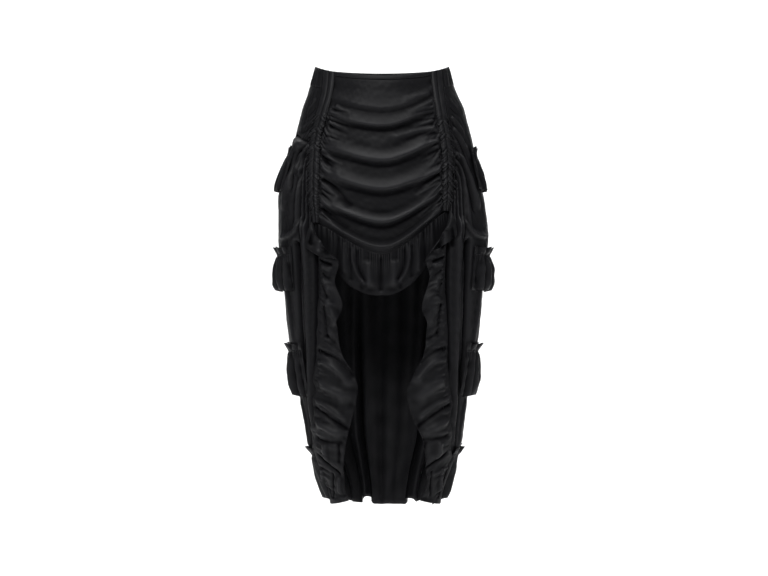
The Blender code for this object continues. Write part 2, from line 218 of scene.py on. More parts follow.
# A crease on a panel in millimetres as seen from the front: where it starts, its middle, where
# it ends, its width and height at both ends, and how many times as wide its lower side is. A
# ridge is above 0 and a trough below.
Crease = namedtuple(
    "Crease", "x z mid_x mid_z end_x end_z wide end_wide high end_high below", defaults=[1.0]
)
FRONT_CREASES = [
    # from the left casing
    Crease(-90, -83, -76, -93, -58, -98, 3.0, 4.0, 2.2, 0.4),
    Crease(-94, -92, -80, -101, -62, -108, 2.5, 3.5, -1.6, 0.0),
    Crease(-103, -113, -88, -123, -66, -134, 3.0, 4.0, 2.4, 0.3),
    Crease(-103, -121, -86, -132, -62, -142, 2.4, 3.5, -1.8, 0.0),
    Crease(-106, -128, -92, -137, -66, -145, 2.6, 3.6, 2.2, 0.3),
    Crease(-108, -138, -94, -144, -70, -150, 2.6, 3.2, 2.2, 0.0),
    Crease(-109, -146, -88, -152, -52, -156, 2.6, 4.0, 2.0, 0.3),
    Crease(-116, -168, -98, -186, -76, -216, 4.0, 6.0, 2.6, 0.6),
    Crease(-116, -178, -103, -198, -88, -222, 3.0, 5.0, -2.6, -0.4),
    Crease(-117, -190, -108, -205, -98, -220, 3.0, 4.0, 2.2, 0.2),
    Crease(-116, -222, -86, -246, -60, -283, 4.0, 6.0, -3.6, -1.6),
    Crease(-117, -232, -100, -246, -80, -264, 4.0, 6.0, 2.8, 0.8),
    Crease(-117, -243, -104, -254, -88, -266, 2.6, 3.4, 1.8, 0.0),
    Crease(-117, -276, -92, -298, -62, -321, 4.0, 6.0, -3.2, -1.0),
    Crease(-117, -284, -98, -302, -74, -318, 2.6, 4.0, 2.0, 0.4),
    # from the right casing
    Crease(92, -62, 66, -67, 34, -80, 4.0, 7.0, 1.8, 0.6),
    Crease(96, -74, 74, -86, 44, -100, 3.0, 5.0, 2.4, 0.6),
    Crease(97, -82, 78, -95, 50, -107, 2.4, 3.6, -1.6, 0.0),
    Crease(99, -112, 74, -118, 40, -122, 3.0, 5.0, 1.6, 0.2),
    Crease(103, -126, 66, -134, 14, -149, 4.0, 8.0, 3.4, 1.0),
    Crease(104, -134, 72, -143, 34, -154, 3.0, 5.0, -2.0, 0.0),
    Crease(107, -152, 84, -160, 44, -180, 3.4, 6.0, 3.0, 0.8),
    Crease(108, -163, 90, -172, 64, -188, 2.8, 4.0, 2.2, 0.2),
    Crease(110, -184, 96, -190, 80, -200, 3.0, 4.0, 2.0, 0.0),
    Crease(111, -206, 88, -218, 52, -247, 3.0, 6.0, 3.0, 0.8),
    Crease(111, -214, 90, -229, 60, -254, 2.6, 5.0, -2.6, -0.4),
    Crease(112, -222, 94, -236, 62, -262, 3.0, 5.0, 3.0, 0.6),
    Crease(112, -231, 96, -246, 70, -274, 2.6, 4.6, 2.6, 0.4),
    Crease(113, -240, 98, -256, 74, -284, 2.6, 4.2, 2.4, 0.3),
    Crease(113, -249, 100, -268, 84, -292, 2.4, 3.6, -2.2, 0.0),
    Crease(113, -255, 102, -273, 90, -298, 2.4, 3.6, 2.2, 0.2),
]

SIDE_CREASES = {
    "left": [
        Crease(-128, -66, -134, -80, -146, -92, 3.0, 5.0, 1.8, 0.4),
        Crease(-127, -84, -137, -98, -152, -108, 3.0, 5.0, -1.8, -0.3),
        Crease(-132, -110, -146, -120, -162, -122, 2.6, 4.0, 2.2, 0.6),
        Crease(-134, -120, -148, -131, -166, -131, 2.4, 4.0, -2.0, -0.6),
        # the shoulder of the fold across the hip, with a puff hanging under it
        Crease(-130, -162, -152, -152, -173, -138, 2.6, 3.6, 2.4, 3.2, 5.0),
        Crease(-134, -154, -153, -146, -170, -132, 2.4, 3.0, -2.4, -2.0),
        Crease(-146, -156, -166, -160, -184, -206, 9.0, 12.0, 3.4, 5.0),
        Crease(-143, -162, -153, -168, -160, -206, 2.4, 4.6, -4.6, -3.4),
        Crease(-150, -166, -168, -184, -177, -250, 3.4, 6.0, -5.0, -5.0),
        Crease(-148, -200, -166, -240, -170, -310, 3.4, 6.0, -4.0, -4.0),
        Crease(-158, -196, -182, -224, -190, -290, 8.0, 12.0, 3.0, 3.6),
        # fine folds that fall from the casing
        Crease(-142, -164, -158, -204, -166, -330, 2.2, 4.4, 3.2, 3.0),
        Crease(-142, -174, -153, -218, -158, -390, 1.8, 4.0, -3.6, -4.4),
        Crease(-142, -182, -150, -224, -154, -340, 1.8, 3.0, 3.0, 2.0),
        Crease(-142, -190, -147, -236, -149, -350, 1.7, 2.8, -3.4, -2.4),
        Crease(-142, -204, -143, -248, -145, -330, 1.7, 2.8, 3.0, 1.6),
        Crease(-141, -216, -140, -258, -140, -340, 1.6, 2.6, -3.2, -1.8),
        Crease(-141, -232, -137, -270, -136, -350, 1.6, 2.8, 2.8, 1.6),
        Crease(-140, -244, -134, -282, -132, -360, 1.6, 2.8, -3.0, -2.0),
        Crease(-138, -258, -131, -292, -128, -350, 1.6, 2.4, 2.6, 1.6),
        Crease(-135, -272, -128, -300, -127, -334, 1.6, 2.0, -2.6, -2.4),
        # the puff's lower edge, above the second tier
        Crease(-152, -292, -172, -326, -204, -330, 4.0, 9.0, 3.4, 3.4, 0.4),
        # the long full fold beside the edge ruffle, between two hollows
        Crease(-150, -296, -141, -450, -137, -700, 8.5, 8.0, 7.0, 4.6),
        Crease(-127, -340, -125, -450, -127, -600, 3.4, 4.4, -7.0, -4.0),
        Crease(-166, -336, -161, -440, -152, -640, 6.4, 6.4, -11.0, -7.0),
        Crease(-188, -400, -180, -470, -170, -540, 7.0, 7.0, 3.0, 2.0),
        Crease(-150, -560, -144, -640, -138, -740, 4.0, 5.0, -2.4, -3.0),
        Crease(-158, -640, -148, -690, -142, -740, 5.0, 5.0, 2.6, 2.0),
    ],
    "right": [
        Crease(130, -66, 138, -80, 150, -86, 3.0, 5.0, 1.8, 0.3),
        Crease(129, -84, 141, -96, 156, -104, 2.8, 5.0, -1.8, -0.3),
        Crease(131, -104, 146, -118, 160, -138, 3.0, 5.6, 3.0, 1.2),
        Crease(133, -114, 148, -132, 162, -156, 2.4, 4.0, -2.8, -1.0),
        Crease(135, -126, 152, -146, 172, -186, 3.0, 6.4, 3.8, 2.2),
        Crease(136, -138, 152, -160, 166, -198, 2.4, 4.6, -3.4, -1.6),
        Crease(137, -149, 148, -170, 158, -206, 2.4, 4.0, 3.2, 1.0),
        Crease(138, -160, 148, -182, 156, -214, 2.0, 3.2, -3.2, -0.8),
        # folds that fan out from the casing's lower half
        Crease(139, -172, 162, -204, 188, -284, 3.0, 8.0, 4.0, 4.4),
        Crease(139, -180, 159, -212, 180, -292, 2.4, 6.0, -5.0, -6.0),
        Crease(139, -190, 155, -222, 168, -320, 2.0, 4.4, 3.4, 2.6),
        Crease(139, -198, 152, -234, 158, -390, 1.8, 4.0, -3.6, -4.4),
        Crease(139, -206, 149, -242, 154, -340, 1.8, 3.0, 3.2, 2.0),
        Crease(139, -214, 146, -252, 149, -350, 1.8, 2.8, -3.4, -2.4),
        Crease(138, -224, 143, -260, 145, -330, 1.7, 2.8, 3.0, 1.6),
        Crease(138, -232, 140, -270, 141, -340, 1.7, 2.6, -3.2, -1.8),
        Crease(137, -242, 137, -280, 136, -350, 1.7, 2.8, 3.0, 1.6),
        Crease(136, -250, 133, -288, 132, -356, 1.6, 2.8, -3.0, -2.0),
        Crease(134, -258, 129, -292, 129, -326, 1.6, 2.2, 2.8, 2.0),
        Crease(131, -266, 126, -296, 125, -332, 1.6, 2.0, -2.6, -2.4),
        Crease(152, -290, 174, -324, 207, -328, 4.0, 9.0, 3.4, 3.4, 0.4),
        # the long full fold beside the edge ruffle, between two hollows
        Crease(148, -290, 141, -450, 139, -700, 8.5, 8.0, 7.0, 4.6),
        Crease(126, -330, 124, -450, 128, -600, 3.4, 4.4, -7.0, -4.0),
        Crease(166, -332, 162, -440, 155, -640, 6.4, 6.4, -11.0, -7.0),
        Crease(192, -400, 185, -470, 176, -540, 7.0, 7.0, 3.0, 2.0),
        Crease(154, -560, 148, -640, 142, -740, 4.0, 5.0, -2.4, -3.0),
        Crease(162, -640, 154, -690, 148, -740, 5.0, 5.0, 2.6, 2.0),
    ],
}
SIDE_SEAM = 100.0  # degrees from the front's middle to the side seam
SIDE_DEPTH = 1.5  # how many times as deep as listed the side panels' creases are
SIDE_UNDER = 0.0018  # how far a side panel's edge lies under its casing's edge
SIDE_INWARDS = 0.0020  # how far the panel lies inside the form, below the waistband
SEAM_GAP = 0.0025  # radians between the side seam and the back panel's edge

# The back's long folds, by the angle of each hollow at the waist and at the hem, its width in
# degrees, and its depth in the upper half and at the hem
BackFold = namedtuple("BackFold", "top hem width high low")
BACK_FOLDS = [
    BackFold(107.0, 106.0, 5.0, 0.002, 0.010),
    BackFold(120.0, 119.0, 5.0, 0.003, 0.012),
    BackFold(134.0, 133.0, 5.5, 0.003, 0.013),
    BackFold(153.0, 148.5, 2.4, 0.001, 0.018),
    BackFold(158.0, 158.0, 2.6, 0.004, 0.000),
    BackFold(168.0, 166.0, 3.4, 0.006, 0.002),
    BackFold(177.0, 181.0, 3.4, 0.003, 0.004),
    BackFold(186.0, 184.0, 3.6, 0.006, 0.001),
    BackFold(195.0, 197.0, 2.4, 0.001, 0.018),
    BackFold(201.0, 203.0, 3.0, 0.006, 0.000),
    BackFold(211.0, 212.0, 5.5, 0.003, 0.013),
    BackFold(226.0, 227.0, 5.5, 0.003, 0.012),
    BackFold(239.0, 240.0, 5.0, 0.003, 0.012),
    BackFold(252.0, 254.0, 4.0, 0.002, 0.009),
]

FRONT_RUFFLE_CREASES = [
    # two full folds beside the middle, with a deep crease between them
    Crease(-29, -373, -27, -402, -23, -434, 8.0, 10.0, 2.4, 13.0),
    Crease(25, -371, 23, -400, 20, -433, 8.0, 10.0, 2.4, 13.0),
    Crease(-2, -362, -3, -395, -3, -440, 4.0, 5.0, -4.4, -4.4),
    # the edge of each fold's outer side
    Crease(-54, -348, -57, -384, -33, -424, 3.0, 3.6, 2.4, 2.4),
    Crease(-46, -352, -48, -386, -32, -420, 3.6, 4.0, -3.6, -3.6),
    Crease(48, -344, 51, -382, 31, -422, 3.0, 3.6, 2.4, 2.4),
    Crease(40, -348, 43, -383, 28, -417, 3.6, 4.0, -3.6, -3.6),
    # shallow folds towards both ends
    Crease(-62, -352, -64, -380, -62, -420, 3.0, 5.0, -2.4, -2.6),
    Crease(-72, -342, -76, -370, -76, -404, 3.0, 5.0, 2.0, 2.4),
    Crease(-84, -332, -88, -352, -90, -388, 3.0, 4.0, -2.0, -2.0),
    Crease(-97, -320, -100, -340, -103, -372, 3.0, 5.0, 2.0, 2.0),
    Crease(57, -345, 60, -376, 58, -414, 3.0, 5.0, -2.4, -2.6),
    Crease(67, -333, 71, -364, 72, -402, 3.0, 5.0, 2.0, 2.4),
    Crease(80, -320, 84, -346, 86, -384, 3.0, 4.0, -2.0, -2.0),
    Crease(93, -306, 97, -330, 100, -368, 3.0, 5.0, 2.0, 2.0),
    Crease(-46, -420, -42, -428, -38, -434, 4.0, 4.0, -1.6, -1.6),
    Crease(40, -418, 37, -426, 34, -432, 4.0, 4.0, -1.6, -1.6),
]
# The front ruffle's length, from the centre (0) to the casings (1)
Fall = namedtuple("Fall", "across length")
FRONT_FALLS = [
    Fall(0.00, 0.077),
    Fall(0.33, 0.083),
    Fall(0.50, 0.084),
    Fall(0.64, 0.078),
    Fall(0.75, 0.068),
    Fall(1.00, 0.054),
]
FRONT_RUFFLE_GATHERS = 44
FRONT_RUFFLE_LEAN = 0.007  # how far its hem hangs back from its seam
FRONT_RUFFLE_SPREAD = 0.06  # by what share its hem is wider than its seam
FRONT_RUFFLE_TURN = 0.085  # how far its ends carry on behind the side panels

# The ruffle down a side panel's front edge: for each height on its seam, how far the free
# edge reaches inwards, how far it drops, how far it stands forward, how deep its waves are,
# how far the seam lies in front of the panel's edge, how much the cloth swells halfway, and
# how far its gathered edge lies over the panel
Reach = namedtuple("Reach", "z inwards drop forward wave lift swell cover")
EDGE_RUFFLES = {
    "left": [
        Reach(-0.304, -0.010, 0.048, 0.010, 0.0005, 0.0038, 0.004, 0.000),
        Reach(-0.318, 0.010, 0.050, 0.011, 0.0010, 0.0038, 0.006, 0.000),
        Reach(-0.332, 0.036, 0.042, 0.011, 0.0010, 0.0036, 0.006, 0.000),
        Reach(-0.350, 0.040, 0.030, 0.008, 0.0015, 0.0030, 0.002, 0.000),
        Reach(-0.388, 0.031, 0.029, 0.008, 0.0040, 0.0020, 0.001, 0.000),
        Reach(-0.430, 0.044, 0.030, 0.010, 0.005, 0.0020, 0.006, 0.002),
        Reach(-0.465, 0.034, 0.030, 0.008, 0.005, 0.0030, 0.001, 0.004),
        Reach(-0.510, 0.038, 0.030, 0.006, 0.006, 0.0030, 0.001, 0.006),
        Reach(-0.590, 0.070, 0.028, 0.004, 0.005, 0.0030, 0.009, 0.011),
        Reach(-0.640, 0.061, 0.026, 0.002, 0.005, 0.0030, 0.002, 0.014),
        Reach(-0.690, 0.048, 0.022, 0.002, 0.005, 0.0030, 0.007, 0.017),
        Reach(-0.760, 0.034, 0.014, 0.002, 0.005, 0.0030, 0.002, 0.019),
        Reach(-0.845, 0.026, 0.002, 0.000, 0.004, 0.0030, 0.004, 0.016),
    ],
    "right": [
        Reach(-0.283, -0.010, 0.046, 0.010, 0.0005, 0.0038, 0.004, 0.000),
        Reach(-0.298, 0.010, 0.050, 0.011, 0.0010, 0.0038, 0.006, 0.000),
        Reach(-0.314, 0.036, 0.050, 0.011, 0.0010, 0.0036, 0.006, 0.000),
        Reach(-0.334, 0.040, 0.042, 0.008, 0.0015, 0.0030, 0.002, 0.000),
        Reach(-0.378, 0.031, 0.032, 0.008, 0.0040, 0.0020, 0.001, 0.000),
        Reach(-0.435, 0.044, 0.030, 0.010, 0.005, 0.0020, 0.006, 0.002),
        Reach(-0.470, 0.034, 0.030, 0.008, 0.005, 0.0030, 0.001, 0.004),
        Reach(-0.520, 0.038, 0.030, 0.006, 0.006, 0.0030, 0.001, 0.006),
        Reach(-0.600, 0.070, 0.028, 0.004, 0.005, 0.0030, 0.009, 0.011),
        Reach(-0.645, 0.060, 0.026, 0.002, 0.005, 0.0030, 0.002, 0.014),
        Reach(-0.700, 0.038, 0.022, 0.002, 0.005, 0.0030, 0.007, 0.017),
        Reach(-0.770, 0.028, 0.014, 0.002, 0.004, 0.0030, 0.002, 0.019),
        Reach(-0.845, 0.024, 0.002, 0.000, 0.004, 0.0030, 0.004, 0.016),
    ],
}
EDGE_WAVES = 11
EDGE_DEPTH = 1.5  # how many times as deep as listed the edge ruffles' creases are
EDGE_CORNER = 0.012  # how far the free edge rises at the hem, in a round corner
EDGE_CREASES = [
    # the fan at its top
    Crease(-124, -318, -126, -334, -129, -352, 3.0, 5.0, 1.0, 4.0),
    Crease(-113, -326, -113, -342, -114, -364, 3.0, 5.0, -2.0, -4.0),
    Crease(-103, -326, -100, -346, -98, -372, 4.0, 7.0, 2.0, 5.0),
    Crease(-119, -374, -106, -382, -90, -387, 3.0, 3.0, -4.0, -3.0),
    Crease(-114, -386, -103, -391, -90, -394, 4.0, 5.0, 3.0, 3.0),
    # a narrow crumpled stretch
    Crease(-112, -398, -104, -408, -92, -414, 3.0, 4.6, -2.4, -1.6),
    Crease(-112, -410, -103, -422, -98, -440, 3.0, 5.0, 2.4, 1.6),
    Crease(-112, -424, -106, -434, -98, -452, 2.8, 4.0, -2.2, -1.8),
    # a full lobe
    Crease(-104, -448, -93, -474, -80, -512, 6.0, 10.0, 2.0, 6.0),
    Crease(-109, -460, -106, -490, -103, -528, 3.4, 5.0, -3.0, -2.6),
    Crease(-106, -516, -96, -524, -80, -536, 4.0, 6.0, -2.4, -2.4),
    # the widest lobe, under a deep slanting crease
    Crease(-124, -548, -88, -562, -48, -606, 5.0, 8.0, -4.0, -4.0),
    Crease(-122, -570, -88, -580, -56, -618, 4.0, 8.0, 2.0, 4.0),
    Crease(-120, -606, -86, -626, -58, -648, 9.0, 14.0, 4.0, 6.0),
    Crease(-126, -644, -98, -656, -66, -684, 5.0, 6.0, 2.0, 3.0),
    # a smaller lobe
    Crease(-130, -654, -100, -674, -62, -700, 4.4, 6.0, -3.4, -3.0),
    Crease(-126, -684, -98, -698, -72, -712, 7.0, 9.0, 3.0, 5.0),
    Crease(-126, -712, -98, -722, -70, -720, 5.0, 6.0, -3.0, -3.0),
    # the last folds, down to the hem
    Crease(-108, -724, -106, -742, -106, -762, 6.0, 7.0, 3.0, 4.0),
    Crease(-84, -722, -82, -744, -84, -768, 4.0, 5.0, -2.4, -2.4),
    Crease(-124, -746, -100, -766, -76, -786, 4.6, 5.4, -3.0, -3.0),
    Crease(-112, -776, -109, -800, -104, -830, 5.0, 6.0, 3.0, 4.0),
    Crease(-93, -780, -91, -804, -90, -836, 3.2, 4.0, -2.4, -2.4),
    Crease(-82, -788, -80, -806, -78, -826, 5.0, 5.0, 3.0, 3.0),
]

# The four ruffle tiers round the back: height and sag of the stitch line, degrees from the front
# to each end, length below the stitches, fullness at the ends, waves, and length as cut
Tier = namedtuple("Tier", "z sag left right length ends waves cut")
TIERS = {
    "tier_1": Tier(-0.172, 0.010, 68.0, 69.0, 0.069, 0.10, 18, 0.74),
    "tier_2": Tier(-0.366, 0.012, 58.0, 57.0, 0.068, 0.70, 24, 1.00),
    "tier_3": Tier(-0.551, 0.012, 57.0, 59.0, 0.085, 0.60, 22, 0.90),
    "tier_4": Tier(-0.752, 0.010, 66.0, 66.0, 0.084, 0.65, 16, 0.70),
}
TIER_OUT = 0.0025  # how far a tier's stitch line stands off the form
HEADING_HEIGHT = 0.015
# From a tier's heading (-1) over its stitch line (0) to its hem (1): how far the cloth stands
# off and how deep its waves are
TierRow = namedtuple("TierRow", "below stand wave")
TIER_ROWS = [
    TierRow(-1.0, 0.0056, 0.0040),
    TierRow(-0.4, 0.0024, 0.0016),
    TierRow(0.0, 0.0, 0.0002),
    TierRow(0.12, 0.0046, 0.0018),
    TierRow(0.45, 0.0102, 0.0058),
    TierRow(0.80, 0.0116, 0.0074),
    TierRow(1.0, 0.0070, 0.0070),
]


# Topstitching: how far apart its stitches start, how long each is, its thread, and how far the
# thread's middle stands off the middle of the cloth
STITCH_STEP = 0.0032
STITCH_LENGTH = 0.0022
THREAD_RADIUS = 0.00028
THREAD_OUTLINE = [(0.0, 1.0), (0.87, 0.3), (0.87, -0.5), (-0.87, -0.5), (-0.87, 0.3)]
THREAD_ENDS = [(-1.0, 0.35), (-0.6, 1.0), (0.6, 1.0), (1.0, 0.35)]  # place along it, and size
ON_CLOTH = 0.0006
ON_BAND_CLOTH = 0.0011

MIDDLE = np.array([0.0, 0.03, 0.0])  # a point on the axis of the skirt

# The floor and the backdrop behind it, as how far back and how high above the floor
FLOOR_Z = -1.25
FLOOR_HALF_WIDTH = 3.4
SWEEP = [(-5.0, 0.0), (3.6, 0.0), (4.6, 0.18), (5.1, 0.7), (5.2, 1.6), (5.2, 3.4)]

Lamp = namedtuple("Lamp", "name place aim size power")
LAMPS = [
    Lamp("key_soft", (-0.30, -2.4, 1.25), (0.0, 0.0, -0.45), 0.8, 26.0),
    Lamp("top_soft", (0.05, -0.8, 2.0), (0.0, -0.05, -0.30), 0.7, 15.0),
    Lamp("left_soft", (-2.3, -1.2, 0.3), (0.0, 0.0, -0.45), 0.9, 2.4),
    Lamp("right_soft", (2.3, -1.1, 0.3), (0.0, 0.0, -0.45), 0.9, 1.6),
    Lamp("paper_light", (0.0, 2.4, 2.8), (0.0, 4.6, -0.6), 3.0, 230.0),
]
ROOM_LIGHT = 0.10

# The photo's viewpoint: straight on, level with the middle of the skirt
CAMERA_PLACE = (0.0033, -3.2, -0.429)
CAMERA_LENS = 77.3
CAMERA_SENSOR = 36.0


def read_table(rows, key, column, at):
    """A column's value between a table's rows, on a smooth curve that never overshoots."""
    x = np.array([getattr(row, key) for row in rows])
    y = np.array([getattr(row, column) for row in rows])
    order = np.argsort(x)
    x, y = x[order], y[order]
    step = np.diff(x)
    rise = np.diff(y) / step
    slope = np.zeros_like(y)
    slope[0], slope[-1] = rise[0], rise[-1]
    same_way = rise[:-1] * rise[1:] > 0
    total = np.where(same_way, rise[:-1] + rise[1:], 1.0)
    slope[1:-1] = np.where(same_way, 2 * rise[:-1] * rise[1:] / total, 0.0)
    at = np.clip(at, x[0], x[-1])
    i = np.clip(np.searchsorted(x, at) - 1, 0, len(step) - 1)
    t = (at - x[i]) / step[i]
    start = (2 * t**3 - 3 * t**2 + 1) * y[i] + (t**3 - 2 * t**2 + t) * step[i] * slope[i]
    end = (3 * t**2 - 2 * t**3) * y[i + 1] + (t**3 - t**2) * step[i] * slope[i + 1]
    return start + end


def mix(first, last, share):
    """A value this share of the way from the first to the last."""
    return first + (last - first) * share


def ease(share):
    """From 0 to 1 along a smooth S, and level beyond both ends."""
    share = np.clip(share, 0.0, 1.0)
    return share * share * (3 - 2 * share)


def form_point(angle, z, out):
    """Points on the form at an angle and a height, moved outwards level with the floor."""
    left = read_table(FORM, "z", "left", z)
    right = read_table(FORM, "z", "right", z)
    front = read_table(FORM, "z", "front", z)
    back = read_table(FORM, "z", "back", z)
    width = np.where(np.sin(angle) < 0, left, right)
    depth = np.where(np.cos(angle) > 0, front, back)
    normal_x = depth * np.sin(angle)
    normal_y = -width * np.cos(angle)
    size = np.hypot(normal_x, normal_y)
    x = width * np.sin(angle) + out * normal_x / size
    y = -depth * np.cos(angle) + out * normal_y / size
    return np.stack([x, y, z], axis=-1)


def direction(side):
    """Which way along X a side lies."""
    return 1.0 if side == "right" else -1.0


def angle_at(across, z, side):
    """The angle of the form's point that lies this far from the centre line, at the front."""
    width = read_table(FORM, "z", side, z)
    return np.arcsin(np.clip(across / width, -0.99, 0.99)) * direction(side)


def waist_height(angle):
    """Height of the top edge, which dips at the front."""
    return -WAIST_DIP * np.maximum(np.cos(angle), 0.0) ** 1.5


def hem_height(angle):
    """Height of the long hem at an angle round the skirt."""
    return read_table(HEM, "angle", "z", np.degrees(angle) % 360.0)


def side_edge(z, side):
    """Distance from the centre line to a side panel's front edge."""
    beside_casing = [Edge(row.z, row.outer) for row in CASINGS[side]]
    return read_table(beside_casing + FRONT_EDGES[side], "z", "across", z)


def crumple(across, z, size, seed):
    """Slight unevenness of worn cloth, from -1 to 1, with lumps about as large as size."""
    pick = np.random.default_rng(seed)
    total = np.zeros_like(across)
    for _ in range(9):
        turn = pick.uniform(0, math.pi)
        length = size * pick.uniform(0.7, 1.8)
        shift = pick.uniform(0, 2 * math.pi)
        along = (across * math.cos(turn) + z * math.sin(turn)) / length
        total += np.sin(2 * math.pi * along + shift)
    return total / 4.5


def crease_length(crease):
    """Rough length of a crease in millimetres."""
    first_half = math.hypot(crease.x - crease.mid_x, crease.z - crease.mid_z)
    return first_half + math.hypot(crease.end_x - crease.mid_x, crease.end_z - crease.mid_z)


def crease_path(crease, t):
    """Distance round the form and height, at shares t of the way along a crease's curve."""
    bend_x = 2 * crease.mid_x - 0.5 * (crease.x + crease.end_x)
    bend_z = 2 * crease.mid_z - 0.5 * (crease.z + crease.end_z)
    path_x = (1 - t) ** 2 * crease.x + 2 * t * (1 - t) * bend_x + t**2 * crease.end_x
    path_z = (1 - t) ** 2 * crease.z + 2 * t * (1 - t) * bend_z + t**2 * crease.end_z
    path_x, path_z = path_x / 1000, path_z / 1000
    if abs(crease.x + crease.end_x) < abs(crease.x - crease.end_x):  # it crosses the middle
        width = 0.5 * read_table(FORM, "z", "left", path_z)
        width += 0.5 * read_table(FORM, "z", "right", path_z)
        return ROUND * np.arcsin(np.clip(path_x / width, -0.99, 0.99)), path_z
    side = "right" if crease.x > 0 else "left"
    return ROUND * angle_at(np.abs(path_x), path_z, side), path_z


def crease_relief(around, z, creases):
    """Relief of the creases at points given by their distance round the form and height."""
    relief = np.zeros_like(around)
    for crease in creases:
        long = crease_length(crease)
        t = np.linspace(0.0, 1.0, int(4 * long / min(crease.wide, crease.end_wide)) + 4)
        path, path_z = crease_path(crease, t)
        reach = 2.8 * max(crease.wide, crease.end_wide) * max(crease.below, 1.0) / 1000
        near = (around > path.min() - reach) & (around < path.max() + reach)
        near &= (z > path_z.min() - reach) & (z < path_z.max() + reach)
        if not near.any():
            continue
        # the nearest spot on the path, also between two of its samples
        gap_x = around[near][:, None] - path[None, :]
        gap_z = z[near][:, None] - path_z[None, :]
        nearest = np.argmin(gap_x**2 + gap_z**2, axis=1)
        spot = np.arange(len(nearest))
        gap_x, gap_z = gap_x[spot, nearest], gap_z[spot, nearest]
        back, ahead = np.maximum(nearest - 1, 0), np.minimum(nearest + 1, len(t) - 1)
        run_x, run_z = path[ahead] - path[back], path_z[ahead] - path_z[back]
        slide = (gap_x * run_x + gap_z * run_z) / (run_x**2 + run_z**2)
        slide = np.clip(slide, -0.5, 0.5)
        share = np.clip(t[nearest] + slide * (t[ahead] - t[back]), 0.0, 1.0)
        square = (gap_x - slide * run_x) ** 2 + (gap_z - slide * run_z) ** 2
        # a soft round section that fades out at both ends
        width = mix(crease.wide, crease.end_wide, share) / 1000
        width = np.where(gap_z < 0, width * crease.below, width)
        height = mix(crease.high, crease.end_high, share) / 1000
        fade = np.clip(1.5 * crease.wide / long, 0.08, 0.5)
        end_fade = np.clip(1.5 * crease.end_wide / long, 0.08, 0.5)
        height *= ease(share / fade) * ease((1 - share) / end_fade)
        relief[near] += height * np.exp(-square / width**2)
    return relief


def pucker_depth(z, side):
    """How strongly the cloth is drawn up at this height of a casing, from 0 to 1."""
    return read_table(PULLS[side], "z", "strength", z)


def pucker_wave(z, beside, side, shift):
    """Puckers of uneven spacing and height that fall away from a casing, from -1 to 1."""
    seed = 3.0 if side == "left" else 5.0
    at = z + PUCKER_SLANT * beside
    turns = at / PUCKER_SPACING + 0.4 * np.sin(at * 130 + seed) + 0.3 * np.sin(at * 370 + 2 * seed)
    uneven = 0.65 + 0.35 * np.sin(at * 210 + seed + shift)
    return uneven * np.cos(2 * math.pi * turns + shift)


def linear_colour(text):
    """A colour for the shader from its screen value, such as '1a1a1c'."""
    parts = [int(text[i : i + 2], 16) / 255 for i in (0, 2, 4)]
    made = [p / 12.92 if p <= 0.04045 else ((p + 0.055) / 1.055) ** 2.4 for p in parts]
    return (*made, 1.0)


def add_node(tree, kind, settings=(), values=(), links=()):
    """A shader node with its settings, its socket values, and what is linked into it."""
    node = tree.nodes.new(kind)
    for key, value in dict(settings).items():
        setattr(node, key, value)
    for key, value in dict(values).items():
        node.inputs[key].default_value = value
    for key, source in dict(links).items():
        tree.links.new(source, node.inputs[key])
    return node


